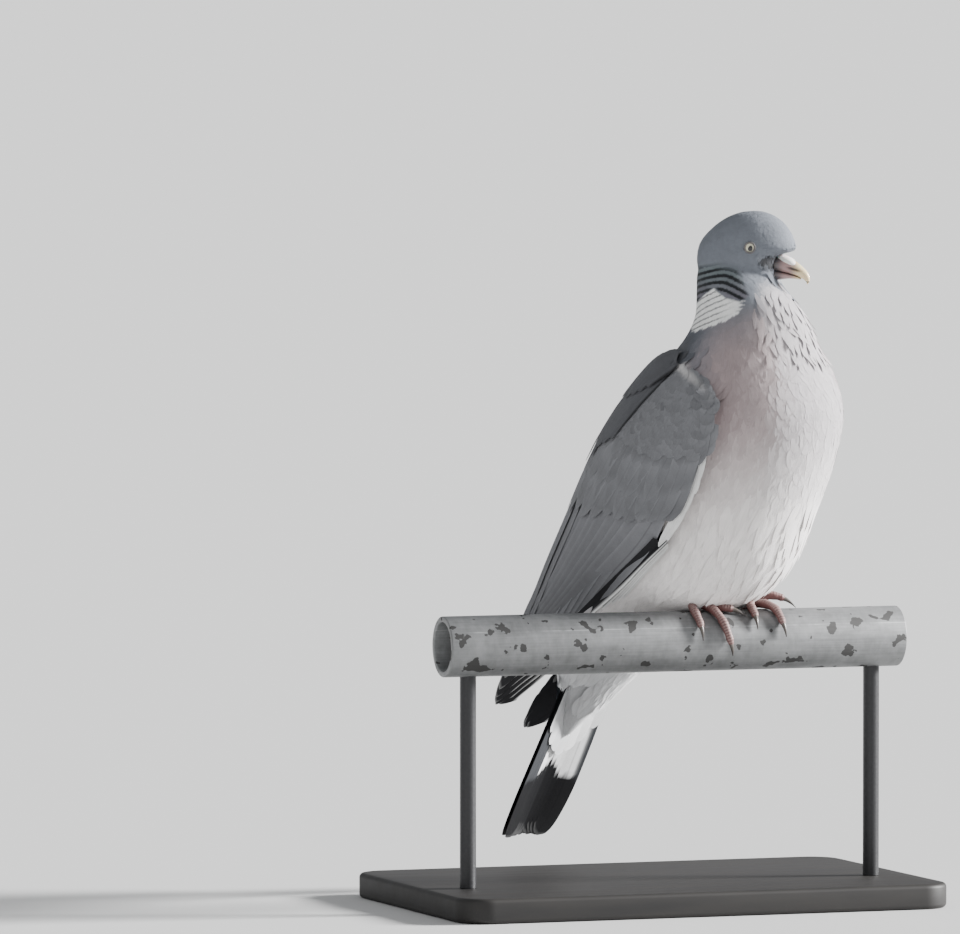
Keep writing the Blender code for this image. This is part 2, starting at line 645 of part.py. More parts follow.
def make_stand(workshop, trunk):
    """The rail, its two rods and the base."""
    half = RAIL_LENGTH / 2
    low, high = (-half, RAIL_Y, RAIL_AXIS_Z), (half, RAIL_Y, RAIL_AXIS_Z)
    rail = workshop.part("perch_rail", rod_mesh("perch_rail", RAIL_RADIUS, low, high, 36), "rail")
    rounding = rail.modifiers.new("end_edges", "BEVEL")
    rounding.width, rounding.segments = RAIL_END_EDGE, 2
    rounding.limit_method, rounding.angle_limit = "ANGLE", math.radians(60)
    seat_mesh = rod_mesh("rail_seat", RAIL_RADIUS + GAP, low, high, 36)
    seat = workshop.cutter("rail_seat", seat_mesh)
    boolean(trunk, seat, "DIFFERENCE")
    room_ends = [(FEET_X + along, RAIL_Y, RAIL_AXIS_Z) for along in (FOOT_ROOM_START, FOOT_ROOM_END)]
    room_mesh = rod_mesh("foot_room", RAIL_RADIUS + FOOT_ROOM_RISE, *room_ends, 36)
    boolean(trunk, workshop.cutter("foot_room", room_mesh), "DIFFERENCE")
    for side, sign in (("left", -1), ("right", 1)):
        foot = (sign * ROD_X, RAIL_Y, BASE_THICKNESS + GAP)
        top = (sign * ROD_X, RAIL_Y, RAIL_AXIS_Z)
        rod_name = f"stand_rod_{side}"
        rod = workshop.part(rod_name, rod_mesh(rod_name, ROD_DIAMETER / 2, foot, top), "rod")
        boolean(rod, seat, "DIFFERENCE")
    base_mesh = rounded_plate("stand_base", BASE_LENGTH, BASE_DEPTH, BASE_CORNER, BASE_THICKNESS)
    base = workshop.part("stand_base", base_mesh, "board")
    edge = base.modifiers.new("edge", "BEVEL")
    edge.width, edge.segments = BASE_EDGE, 2
    edge.limit_method, edge.angle_limit = "ANGLE", math.radians(60)


def rounded_plate(name, length, depth, corner, thickness):
    """A flat plate with rounded corners, its underside at height 0."""
    outline = []
    for quarter, (x, y) in enumerate(((1, 1), (-1, 1), (-1, -1), (1, -1))):
        centre = Vector((x * (length / 2 - corner), y * (depth / 2 - corner), 0))
        for step in range(6):
            angle = math.pi / 2 * (quarter + step / 5)
            outline.append(centre + Vector((math.cos(angle), math.sin(angle), 0)) * corner)
    lift = Vector((0, 0, thickness))
    return lofted(name, [outline, [point + lift for point in outline]])


def main():
    """Builds the bird on its perch and stand."""
    clear_scene()
    workshop = Workshop()
    trunk, head = make_body(workshop)
    make_face(workshop, head)
    blades = make_wings(workshop, trunk)
    make_tail(workshop, trunk, blades)
    for side in FEET:
        make_foot(workshop, side, trunk)
    make_stand(workshop, trunk)


main()
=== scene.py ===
"""The looks of a life-size common wood pigeon, perched on a cut length of handrail tube on a display stand.

Metres, +Z up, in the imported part's frame. The bird is worked out in a frame of its own, +X forward and +Y
to its left, whose origin is on top of the rail between the feet, and its head in a frame turned from that.
"""

from __future__ import annotations

import logging
import math
from collections.abc import Callable, Sequence
from dataclasses import dataclass, field
from enum import Enum

import bpy
import numpy as np
from mathutils import Matrix, Vector
from mathutils.bvhtree import BVHTree
from mathutils.kdtree import KDTree


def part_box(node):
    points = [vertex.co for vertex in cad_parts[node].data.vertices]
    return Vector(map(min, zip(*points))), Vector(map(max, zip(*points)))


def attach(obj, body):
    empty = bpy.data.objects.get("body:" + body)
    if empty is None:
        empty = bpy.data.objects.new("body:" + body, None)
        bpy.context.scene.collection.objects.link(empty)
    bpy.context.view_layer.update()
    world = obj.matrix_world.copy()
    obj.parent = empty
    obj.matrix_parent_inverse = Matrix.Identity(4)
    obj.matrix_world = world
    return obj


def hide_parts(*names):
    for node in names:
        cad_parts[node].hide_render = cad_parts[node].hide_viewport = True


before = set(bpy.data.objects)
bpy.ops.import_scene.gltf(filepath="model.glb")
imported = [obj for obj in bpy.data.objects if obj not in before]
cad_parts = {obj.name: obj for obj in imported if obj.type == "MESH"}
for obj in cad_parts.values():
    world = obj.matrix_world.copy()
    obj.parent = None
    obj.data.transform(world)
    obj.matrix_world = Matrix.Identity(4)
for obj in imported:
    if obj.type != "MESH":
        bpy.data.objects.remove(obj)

LOG = logging.getLogger("wood_pigeon")
SHARP = 50  # degrees at which an edge is rounded

# How the bird stands on the rail
FEET_X = 0.040
BIRD_HEADING = math.radians(-60)
HEAD_CENTRE = (0.0070, 0.0, 0.2000)
HEAD_TURN = math.radians(28)

# Trunk and neck: back (x, z), belly (x, z), half width and turn in degrees of each section
BODY_SECTIONS = (
    (-0.1330, -0.0740, -0.1220, -0.0790, 0.0060, 0),
    (-0.1250, -0.0580, -0.1080, -0.0660, 0.0140, 0),
    (-0.1215, -0.0400, -0.0940, -0.0530, 0.0220, 0),
    (-0.1170, -0.0200, -0.0780, -0.0400, 0.0300, 0),
    (-0.1120, 0.0020, -0.0560, -0.0240, 0.0370, 0),
    (-0.1050, 0.0240, -0.0280, -0.0080, 0.0430, 0),
    (-0.0970, 0.0460, 0.0020, 0.0020, 0.0480, 0),
    (-0.0880, 0.0680, 0.0270, 0.0220, 0.0510, 0),
    (-0.0770, 0.0900, 0.0430, 0.0520, 0.0530, 0),
    (-0.0650, 0.1090, 0.0560, 0.0820, 0.0530, 0),
    (-0.0520, 0.1250, 0.0620, 0.1080, 0.0510, 0),
    (-0.0390, 0.1390, 0.0570, 0.1290, 0.0450, 2),
    (-0.0280, 0.1520, 0.0490, 0.1430, 0.0370, 4),
    (-0.0230, 0.1640, 0.0440, 0.1560, 0.0295, 8),
    (-0.0225, 0.1770, 0.0350, 0.1710, 0.0240, 15),
    (-0.0210, 0.1900, 0.0220, 0.1850, 0.0185, 22),
    (-0.0100, 0.2020, 0.0130, 0.2000, 0.0110, 28),
)
# Head, in its own frame: how far forward, top, bottom and half width of each section
HEAD_SECTIONS = (
    (-0.0285, 0.0000, -0.0080, 0.0035),
    (-0.0265, 0.0055, -0.0150, 0.0090),
    (-0.0215, 0.0115, -0.0185, 0.0128),
    (-0.0140, 0.0174, -0.0200, 0.0152),
    (-0.0050, 0.0213, -0.0200, 0.0162),
    (0.0050, 0.0223, -0.0195, 0.0162),
    (0.0125, 0.0206, -0.0183, 0.0148),
    (0.0190, 0.0166, -0.0155, 0.0124),
    (0.0232, 0.0115, -0.0095, 0.0094),
    (0.0256, 0.0065, -0.0040, 0.0062),
    (0.0268, 0.0028, -0.0004, 0.0026),
)
# The line inside the bird that the lie of its feathers follows, from the face to the tail
SPINE = (
    (0.0300, 0.0090, 0.1950),
    (0.0100, 0.0015, 0.2010),
    (0.0000, -0.0030, 0.1880),
    (0.0050, -0.0010, 0.1720),
    (0.0100, 0.0000, 0.1500),
    (0.0090, 0.0000, 0.1250),
    (-0.0060, 0.0000, 0.0850),
    (-0.0350, 0.0000, 0.0400),
    (-0.0700, 0.0000, -0.0040),
    (-0.1050, 0.0000, -0.0450),
    (-0.1300, 0.0000, -0.0850),
)
# A folded wing: rear edge, leading edge, bulge and thickness of each section, from shoulder to tip
WING_SECTIONS = (
    (-0.0100, -0.0380, 0.1410, 0.0040, -0.0450, 0.1360, 0.001, 0.0045),
    (-0.0300, -0.0300, 0.1370, 0.0260, -0.0530, 0.1170, 0.006, 0.0080),
    (-0.0540, -0.0240, 0.1200, 0.0280, -0.0560, 0.0970, 0.012, 0.0090),
    (-0.0760, -0.0190, 0.0980, 0.0150, -0.0560, 0.0740, 0.015, 0.0090),
    (-0.0940, -0.0160, 0.0740, -0.0030, -0.0550, 0.0510, 0.014, 0.0085),
    (-0.1100, -0.0140, 0.0480, -0.0240, -0.0510, 0.0340, 0.012, 0.0070),
    (-0.1240, -0.0130, 0.0220, -0.0540, -0.0450, 0.0150, 0.009, 0.0060),
    (-0.1360, -0.0130, -0.0020, -0.0850, -0.0360, -0.0030, 0.006, 0.0050),
    (-0.1450, -0.0140, -0.0170, -0.1170, -0.0260, -0.0190, 0.003, 0.0035),
    (-0.1500, -0.0160, -0.0250, -0.1400, -0.0200, -0.0275, 0.001, 0.0020),
)
WINGTIP_SECTIONS = (
    (-0.0030, -0.0545, 0.0440, -0.0060, -0.0540, 0.0395, 0.0, 0.0025),
    (-0.0260, -0.0500, 0.0300, -0.0310, -0.0485, 0.0200, 0.0, 0.0035),
    (-0.0560, -0.0440, 0.0115, -0.0610, -0.0390, -0.0010, 0.0, 0.0035),
    (-0.0880, -0.0345, -0.0070, -0.0930, -0.0290, -0.0210, 0.0, 0.0035),
    (-0.1200, -0.0245, -0.0240, -0.1240, -0.0200, -0.0390, 0.0, 0.0032),
    (-0.1450, -0.0170, -0.0360, -0.1420, -0.0155, -0.0500, 0.0, 0.0028),
    (-0.1610, -0.0130, -0.0480, -0.1560, -0.0130, -0.0580, 0.0, 0.0022),
    (-0.1680, -0.0120, -0.0565, -0.1640, -0.0120, -0.0610, 0.0, 0.0015),
)
LEFT_WING_DROOP = math.radians(-3.8)
LEFT_WING_CLOSE = math.radians(2.2)
LEFT_WING_SHIFT = (-0.0085, 0.0, -0.0030)
WING_HINGE = (0.010, 0.0, 0.130)
# The folded tail: middle (x, z), half width, thickness and how far its edges turn down
TAIL_SECTIONS = (
    (-0.0960, -0.0120, 0.0140, 0.0040, 20),
    (-0.1050, -0.0300, 0.0205, 0.0042, 22),
    (-0.1120, -0.0450, 0.0240, 0.0040, 24),
    (-0.1230, -0.0665, 0.0250, 0.0034, 26),
    (-0.1340, -0.0875, 0.0250, 0.0028, 26),
    (-0.1450, -0.1085, 0.0242, 0.0022, 24),
    (-0.1540, -0.1255, 0.0205, 0.0016, 20),
    (-0.1590, -0.1345, 0.0130, 0.0010, 14),
)


class Side(Enum):
    """A side of the bird; its value is the sign of that side's Y."""

    RIGHT = -1
    LEFT = 1

    @property
    def word(self) -> str:
        """The side's name as the frame's nodes spell it."""
        return self.name.lower()


def smoothstep(low: float, high: float, value: np.ndarray) -> np.ndarray:
    """0 below low, 1 above high, and an even ramp between them."""
    share = np.clip((value - low) / (high - low), 0.0, 1.0)
    return share * share * (3 - 2 * share)


def unit(vectors: np.ndarray) -> np.ndarray:
    """The vectors, each at length 1."""
    return vectors / np.maximum(np.linalg.norm(vectors, axis=-1, keepdims=True), 1e-12)


def mix(first: Sequence[float], second: Sequence[float], share: np.ndarray) -> np.ndarray:
    """The first colour moved towards the second by a share."""
    start = np.array(first)
    return start + (np.array(second) - start) * share


def even_angles(count: int) -> np.ndarray:
    """That many angles round a circle."""
    return np.linspace(0, 2 * math.pi, count, endpoint=False)


def run_along(points: np.ndarray) -> np.ndarray:
    """How far along its own line each point lies; the points of a line follow each other on axis -2."""
    steps = np.linalg.norm(np.diff(points, axis=-2), axis=-1)
    return np.concatenate([np.zeros((*steps.shape[:-1], 1)), np.cumsum(steps, axis=-1)], axis=-1)


def levelled(vectors: np.ndarray, out: np.ndarray) -> np.ndarray:
    """The vectors without what they have along out, at length 1."""
    return unit(vectors - (vectors * out).sum(1, keepdims=True) * out)


def oval(top: Sequence[float], bottom: Sequence[float], width: float, angles: np.ndarray) -> np.ndarray:
    """An oval section from its top (x, z) to its bottom (x, z), of that half width."""
    high, low = np.array([top[0], 0, top[1]]), np.array([bottom[0], 0, bottom[1]])
    middle, up = (high + low) / 2, (high - low) / 2
    points = middle + np.cos(angles)[:, None] * up
    points[:, 1] = width * np.sin(angles)
    return points


def smooth_rows(rows: Sequence[Sequence[float]], count: int) -> np.ndarray:
    """A smooth curve through rows of numbers.

    Args:
        rows: the rows that the curve passes through.
        count: how many rows to return, evenly spread between the given ones.
    """
    known = np.asarray(rows, float)
    held = np.vstack([2 * known[0] - known[1], known, 2 * known[-1] - known[-2]])
    at = np.linspace(0, len(known) - 1, count)
    low = np.minimum(at.astype(int), len(known) - 2)
    t = (at - low)[:, None]
    before, start, end, after = (held[low + k] for k in range(4))
    bend = 2 * before - 5 * start + 4 * end - after
    twist = 3 * start - before - 3 * end + after
    return 0.5 * (2 * start + (end - before) * t + bend * t**2 + twist * t**3)


def moved(points: np.ndarray, place: Matrix) -> np.ndarray:
    """The points after a 4 by 4 transform."""
    turn = np.array(place)
    return points @ turn[:3, :3].T + turn[:3, 3]


def loft_faces(rings: int, sides: int, shift: int = 0) -> list[tuple[int, ...]]:
    """Faces of a closed loft whose rings each have that many points, with a face over each end.

    Args:
        rings: how many rings it has.
        sides: how many points each has.
        shift: the number of its first point.
    """
    faces: list[tuple[int, ...]] = []
    for k in range(rings - 1):
        low = shift + k * sides
        for i in range(sides):
            j = (i + 1) % sides
            faces.append((low + i, low + j, low + sides + j, low + sides + i))
    faces.append(tuple(range(shift, shift + sides)))
    faces.append(tuple(range(shift + (rings - 1) * sides, shift + rings * sides)))
    return faces


def sheet_faces(rows: int, columns: int, turned: bool) -> list[tuple[int, ...]]:
    """Faces of a sheet of rows of points; turned reverses them."""
    faces = []
    for i in range(rows - 1):
        for j in range(columns - 1):
            low = i * columns + j
            face = (low, low + 1, low + columns + 1, low + columns)
            faces.append(face[::-1] if turned else face)
    return faces


def select_only(piece: bpy.types.Object) -> None:
    """Makes the piece the only selected object, and the active one."""
    bpy.ops.object.select_all(action="DESELECT")
    piece.select_set(True)
    bpy.context.view_layer.objects.active = piece


def linked(name: str, data: bpy.types.ID) -> bpy.types.Object:
    """A new object of the scene that holds the data."""
    made = bpy.data.objects.new(name, data)
    bpy.context.scene.collection.objects.link(made)
    return made


def mesh_piece(name: str, points: np.ndarray, faces: Sequence[tuple[int, ...]]) -> bpy.types.Object:
    """A closed, smooth-shaded object from points and faces, which are turned outwards."""
    mesh = bpy.data.meshes.new(name)
    mesh.from_pydata(points.tolist(), [], faces)
    mesh.validate()
    mesh.shade_smooth()
    piece = linked(name, mesh)
    select_only(piece)
    bpy.ops.object.mode_set(mode="EDIT")
    bpy.ops.mesh.select_all(action="SELECT")
    bpy.ops.mesh.normals_make_consistent(inside=False)
    bpy.ops.object.mode_set(mode="OBJECT")
    return piece


def primitive(name: str, kind: str, **sizes: object) -> bpy.types.Object:
    """One of Blender's own shapes, as the only selected object."""
    bpy.ops.object.select_all(action="DESELECT")
    getattr(bpy.ops.mesh, f"primitive_{kind}_add")(**sizes)
    piece = bpy.context.active_object
    piece.name = name
    return piece


def mark(piece: bpy.types.Object, kind: str, chosen: Callable[[object], bool]) -> None:
    """Opens the active piece for an edit of its chosen edges or polygons."""
    bpy.ops.object.mode_set(mode="EDIT")
    bpy.context.tool_settings.mesh_select_mode = (False, kind == "edges", kind == "polygons")
    bpy.ops.mesh.select_all(action="DESELECT")
    bpy.ops.object.mode_set(mode="OBJECT")
    for item in getattr(piece.data, kind):
        item.select = chosen(item)
    bpy.ops.object.mode_set(mode="EDIT")


def rounded(piece: bpy.types.Object, width: float, segments: int, smooth: float) -> None:
    """Rounds the active piece's sharp edges, and shades it smooth up to that many degrees."""
    rounding = piece.modifiers.new("edges", "BEVEL")
    rounding.width, rounding.segments = width, segments
    rounding.limit_method, rounding.angle_limit = "ANGLE", math.radians(SHARP)
    bpy.ops.object.modifier_apply(modifier="edges")
    bpy.ops.object.shade_smooth_by_angle(angle=math.radians(smooth))


def paint(piece: bpy.types.Object, colours: np.ndarray) -> None:
    """Stores a colour for each corner point of the piece, which its finish reads as "tint"."""
    layer = piece.data.color_attributes.new("tint", "FLOAT_COLOR", "POINT")
    rgba = np.ones((len(colours), 4), np.float32)
    rgba[:, :3] = np.clip(colours, 0.0, 1.0)
    layer.data.foreach_set("color", rgba.ravel())


def corner_points(piece: bpy.types.Object) -> np.ndarray:
    """The piece's corner points."""
    flat = np.empty(len(piece.data.vertices) * 3)
    piece.data.vertices.foreach_get("co", flat)
    return flat.reshape(-1, 3)


def set_corners(piece: bpy.types.Object, points: np.ndarray) -> None:
    """Moves the piece's corner points."""
    piece.data.vertices.foreach_set("co", points.astype(np.float32).ravel())


def finish_piece(piece: bpy.types.Object, finish: bpy.types.Material, slot: str, *nodes: str) -> None:
    """Gives a piece its material and body, and hides the nodes that it stands for."""
    piece.data.materials.append(finish)
    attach(piece, "root")
    if nodes:
        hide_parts(*nodes)
    LOG.info("%s: %d faces", piece.name, len(piece.data.polygons))


# Shader sockets and graphs


@dataclass(frozen=True)
class Socket:
    """An output socket that Python's operators work on."""

    graph: "Graph"
    link: bpy.types.NodeSocket

    def __add__(self, other: "Socket | float") -> "Socket":
        """This plus the other."""
        return self.graph.maths("ADD", self, other)

    def __sub__(self, other: "Socket | float") -> "Socket":
        """This less the other."""
        return self.graph.maths("SUBTRACT", self, other)

    def __rsub__(self, other: float) -> "Socket":
        """The other less this."""
        return self.graph.maths("SUBTRACT", other, self)

    def __mul__(self, other: "Socket | float") -> "Socket":
        """This times the other."""
        return self.graph.maths("MULTIPLY", self, other)

    def sine(self) -> "Socket":
        """The sine of this."""
        return self.graph.maths("SINE", self)

    def size(self) -> "Socket":
        """This without its sign."""
        return self.graph.maths("ABSOLUTE", self)

    def ramp(self, low: float, high: float, start: float = 0.0, end: float = 1.0) -> "Socket":
        """This mapped smoothly from low..high to start..end, and held there outside."""
        values = {"Value": self, "From Min": low, "From Max": high, "To Min": start, "To Max": end}
        settings = {"interpolation_type": "SMOOTHSTEP"}
        return self.graph.node("ShaderNodeMapRange", settings, values).socket("Result")


@dataclass(frozen=True)
class GraphNode:
    """A node of a graph, whose outputs are asked for by name."""

    graph: "Graph"
    made: bpy.types.Node

    def socket(self, name: str) -> Socket:
        """The output of that name."""
        return Socket(self.graph, self.made.outputs[name])


class Graph:
    """A material's nodes: one Principled shader and what feeds it."""

    def __init__(self, name: str) -> None:
        """Starts a material of that name."""
        self.material = bpy.data.materials.new(name)
        self.material.use_nodes = True
        self.tree = self.material.node_tree
        self.shader = self.tree.nodes["Principled BSDF"]

    def node(self, kind: str, settings: dict | None = None, values: dict | None = None) -> GraphNode:
        """A new node.

        Args:
            kind: the node's type.
            settings: its properties.
            values: what each input holds or is linked to, by its name or number.
        """
        made = self.tree.nodes.new(kind)
        for key, value in (settings or {}).items():
            setattr(made, key, value)
        for key, value in (values or {}).items():
            self.feed(made.inputs[key], value)
        return GraphNode(self, made)

    def feed(self, target: bpy.types.NodeSocket, value: object) -> None:
        """Links or sets one input."""
        if isinstance(value, Socket):
            self.tree.links.new(value.link, target)
        else:
            target.default_value = value

    def maths(self, operation: str, *values: "Socket | float") -> Socket:
        """A Math node's result."""
        inputs = dict(enumerate(values))
        return self.node("ShaderNodeMath", {"operation": operation}, inputs).socket("Value")

    def set(self, **values: object) -> None:
        """Feeds the shader's inputs; an underscore in a name stands for a space."""
        for key, value in values.items():
            self.feed(self.shader.inputs[key.replace("_", " ")], value)

    def places(self, scale: tuple[float, float, float] = (1, 1, 1)) -> Socket:
        """Object coordinates, stretched by the given scale."""
        raw = self.node("ShaderNodeTexCoord").socket("Object")
        values = {"Vector": raw, "Scale": scale}
        return self.node("ShaderNodeMapping", None, values).socket("Vector")

    def uv(self, name: str) -> tuple[Socket, Socket]:
        """The two coordinates of a UV map."""
        raw = self.node("ShaderNodeUVMap", {"uv_map": name}).socket("UV")
        split = self.node("ShaderNodeSeparateXYZ", None, {"Vector": raw})
        return split.socket("X"), split.socket("Y")

    def tint(self) -> Socket:
        """The colour painted on the mesh."""
        settings = {"attribute_name": "tint", "attribute_type": "GEOMETRY"}
        return self.node("ShaderNodeAttribute", settings).socket("Color")

    def noise(
        self, scale: float, detail: float = 2.0, stretch: tuple = (1, 1, 1), rough: float = 0.5
    ) -> Socket:
        """Noise from 0 to 1 in Object coordinates."""
        values = {"Vector": self.places(stretch), "Scale": scale, "Detail": detail, "Roughness": rough}
        return self.node("ShaderNodeTexNoise", None, values).socket("Fac")

    def scaled(self, colour: "Socket | tuple[float, float, float]", factor: Socket) -> Socket:
        """A colour made lighter or darker."""
        values = {0: colour, "Scale": factor}
        return self.node("ShaderNodeVectorMath", {"operation": "SCALE"}, values).socket("Vector")

    def mixed(self, factor: "Socket | float", first: object, second: object) -> Socket:
        """A mix of two colours."""
        made = self.tree.nodes.new("ShaderNodeMix")
        made.data_type = "RGBA"
        for place, value in ((0, factor), (6, first), (7, second)):
            self.feed(made.inputs[place], value)
        return Socket(self, made.outputs[2])

    def bump(self, height: Socket, distance: float) -> None:
        """Gives the shader a bump of that depth."""
        values = {"Height": height, "Distance": distance}
        self.set(Normal=self.node("ShaderNodeBump", None, values).socket("Normal"))


@dataclass(frozen=True)
class FeatherFinish:
    """Vanes: barbs that slant off a shaft, over the colour painted on them."""

    name: str
    barbs: float = 46.0
    slant: float = 9.0
    contrast: float = 0.06
    streaks: float = 0.16
    depth: float = 0.00004
    shaft: float = 0.0
    roughness: float = 0.75
    sheen: float = 0.04
    gloss: float = 0.16

    def make(self) -> bpy.types.Material:
        """The material."""
        graph = Graph(self.name)
        across, along = graph.uv("Vane")
        root_x, root_y = graph.uv("OFBake")
        side = (across - 0.5).size() * 2
        wobble = graph.noise(220.0, 2.0) * 1.6
        barb = ((along * self.barbs - side * self.slant + wobble) * (2 * math.pi)).sine()
        place = {"X": across * 13.0, "Y": along * 2.4 - side * 0.8, "Z": root_x * 190.0 + root_y * 430.0}
        where = graph.node("ShaderNodeCombineXYZ", None, place).socket("Vector")
        spread = {"Vector": where, "Detail": 3.0, "Scale": 1.0}
        streak = graph.node("ShaderNodeTexNoise", None, spread).socket("Fac")
        broad = graph.noise(130.0, 3.0)
        level = barb * (self.contrast * 0.5) + (streak - 0.5) * (2 * self.streaks)
        level = level + (broad - 0.5) * 0.22 + 1.0
        if self.shaft:
            level = level * (1 - side.ramp(0.02, 0.09, 1.0, 0.0) * self.shaft)
        graph.set(Base_Color=graph.scaled(graph.tint(), level), Roughness=self.roughness)
        graph.set(Specular_IOR_Level=self.gloss, Sheen_Weight=self.sheen, Sheen_Roughness=0.5)
        graph.bump(barb * 0.4 + streak * 1.6, self.depth)
        return graph.material


@dataclass(frozen=True)
class SkinFinish:
    """The skin under the coat, with the coat's own markings and a short down over it."""

    name: str = "pigeon_skin"

    def make(self) -> bpy.types.Material:
        """The material."""
        graph = Graph(self.name)
        down = graph.noise(1400.0, 3.0)
        graph.set(Base_Color=graph.scaled(graph.tint(), down * 0.3 + 0.8), Roughness=0.9)
        graph.set(Specular_IOR_Level=0.1)
        graph.bump(down, 0.0002)
        return graph.material


@dataclass(frozen=True)
class PaintedFinish:
    """Horn, bare skin, scales or an eye: a painted colour under a fine grain."""

    name: str
    roughness: float
    grain: float
    grain_scale: float
    depth: float
    coat: float = 0.0
    soft: float = 0.0

    def make(self) -> bpy.types.Material:
        """The material."""
        graph = Graph(self.name)
        grain = graph.noise(self.grain_scale, 3.0)
        level = grain * (2 * self.grain) + (1 - self.grain)
        graph.set(Base_Color=graph.scaled(graph.tint(), level))
        graph.set(Roughness=grain * 0.12 + self.roughness, Coat_Weight=self.coat, Coat_Roughness=0.03)
        graph.set(Subsurface_Weight=self.soft, Subsurface_Scale=0.002)
        graph.bump(grain, self.depth)
        return graph.material


@dataclass(frozen=True)
class GalvanisedFinish:
    """Old zinc on a steel tube: brushed along it, faintly spangled and spotted with dirt."""

    name: str = "galvanised_steel"
    colour: tuple[float, float, float] = (0.215, 0.219, 0.221)
    dirt: tuple[float, float, float] = (0.026, 0.025, 0.024)
    pale_line_height: float = 0.0

    def make(self) -> bpy.types.Material:
        """The material."""
        graph = Graph(self.name)
        brushed = graph.noise(1100.0, 4.0, (0.02, 1, 1))
        crossed = graph.noise(260.0, 5.0, (1, 0.45, 0.45), 0.65)
        broad = graph.noise(60.0, 5.0, (0.8, 1, 1), 0.6)
        cells = {"Vector": graph.places((0.5, 1, 1)), "Scale": 420.0}
        spangle = graph.node("ShaderNodeTexVoronoi", None, cells).socket("Distance")
        spots = graph.noise(105.0, 3.0, (1, 1, 1), 0.45).ramp(0.618, 0.632)
        smears = graph.noise(30.0, 5.0, (0.5, 1.4, 1.4)).ramp(0.56, 0.76)
        height = graph.node("ShaderNodeSeparateXYZ", None, {"Vector": graph.places()}).socket("Z")
        # a pale line painted along the tube at that height, in patches
        line = (height - self.pale_line_height).size().ramp(0.0001, 0.0004, 1.0, 0.0) * broad.ramp(0.40, 0.60)
        level = brushed * 0.45 + crossed * 0.60 + broad * 0.90 + spangle * 0.10 + line * 0.6 - 0.05
        clean = graph.scaled(self.colour, level)
        soiled = graph.mixed(smears * 0.40, clean, (*self.dirt, 1))
        graph.set(Base_Color=graph.mixed(spots * 0.95, soiled, (*self.dirt, 1)))
        graph.set(Metallic=0.30 - spots * 0.3, Roughness=brushed * 0.20 + spots * 0.2 + 0.42)
        graph.bump(brushed + crossed * 0.4 + spangle * 0.3, 0.00008)
        return graph.material


@dataclass(frozen=True)
class LacquerFinish:
    """A dark coat of two close tones, over wood grain or with the orange peel of paint."""

    name: str
    dark: tuple[float, float, float]
    pale: tuple[float, float, float]
    scale: float
    detail: float
    stretch: tuple[float, float, float]
    roughness: tuple[float, float]
    depth: float
    metallic: float = 0.0
    gloss: float = 0.5

    def make(self) -> bpy.types.Material:
        """The material."""
        graph = Graph(self.name)
        grain = graph.noise(self.scale, self.detail, self.stretch)
        graph.set(Base_Color=graph.mixed(grain, (*self.dark, 1), (*self.pale, 1)))
        graph.set(Roughness=grain * self.roughness[0] + self.roughness[1], Metallic=self.metallic)
        graph.set(Specular_IOR_Level=self.gloss)
        graph.bump(grain, self.depth)
        return graph.material


BOARD_FINISH = LacquerFinish(
    name="black_lacquer",
    dark=(0.012, 0.012, 0.013),
    pale=(0.030, 0.027, 0.024),
    scale=120.0,
    detail=4.0,
    stretch=(0.12, 1, 1),
    roughness=(0.16, 0.46),
    depth=0.00008,
    gloss=0.35,
)
ROD_FINISH = LacquerFinish(
    name="satin_black_rod",
    dark=(0.018, 0.018, 0.020),
    pale=(0.036, 0.036, 0.038),
    scale=700.0,
    detail=2.0,
    stretch=(1, 1, 1),
    roughness=(0.12, 0.34),
    depth=0.00003,
    metallic=0.3,
)


@dataclass(frozen=True)
class FloorFinish:
    """A plain pale studio floor."""

    name: str = "studio_floor"
    colour: tuple[float, float, float] = (0.60, 0.60, 0.595)

    def make(self) -> bpy.types.Material:
        """The material."""
        graph = Graph(self.name)
        graph.set(Base_Color=(*self.colour, 1), Roughness=0.9, Specular_IOR_Level=0.1)
        return graph.material


# Where things are


class Places:
    """The bird's frame and its head's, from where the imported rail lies."""

    def __init__(self) -> None:
        """Reads the rail's box."""
        low, high = (Vector(corner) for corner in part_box("perch_rail"))
        self.rail_length = high.x - low.x
        self.rail_radius = (high.z - low.z) / 2
        self.rail_middle = (low + high) / 2
        self.feet = Vector((FEET_X, self.rail_middle.y, high.z))
        self.bird = Matrix.Translation(self.feet) @ Matrix.Rotation(BIRD_HEADING, 4, "Z")
        self.head_in_bird = Matrix.Translation(HEAD_CENTRE) @ Matrix.Rotation(HEAD_TURN, 4, "Z")
        self.head = self.bird @ self.head_in_bird


class Lie:
    """Which way feathers lie at a point, and where on the bird it is."""

    count = 90
    spread = 0.011

    def __init__(self) -> None:
        """Smooths the spine into many points."""
        self.points = smooth_rows(SPINE, self.count)
        self.ways = unit(np.gradient(self.points, axis=0))
        self.run = run_along(self.points)

    def weights(self, points: np.ndarray) -> np.ndarray:
        """How much each spine point counts at each of the points."""
        away = ((points[:, None] - self.points[None]) ** 2).sum(-1)
        nearest = away.min(axis=1, keepdims=True)
        share = np.exp((nearest - away) / (2 * self.spread**2))
        return share / share.sum(axis=1, keepdims=True)

    def at(self, points: np.ndarray) -> tuple[np.ndarray, np.ndarray, np.ndarray]:
        """At each point: the way to the tail, how far along the spine it is, and how ventral, -1 to 1."""
        share = self.weights(points)
        way = unit(share @ self.ways)
        run = share @ self.run
        outward = points - share @ self.points
        belly = unit(np.stack([-way[:, 2], np.zeros(len(way)), way[:, 0]], axis=1))
        outward = outward - (outward * way).sum(1, keepdims=True) * way
        return way, run, (unit(outward) * belly).sum(1)


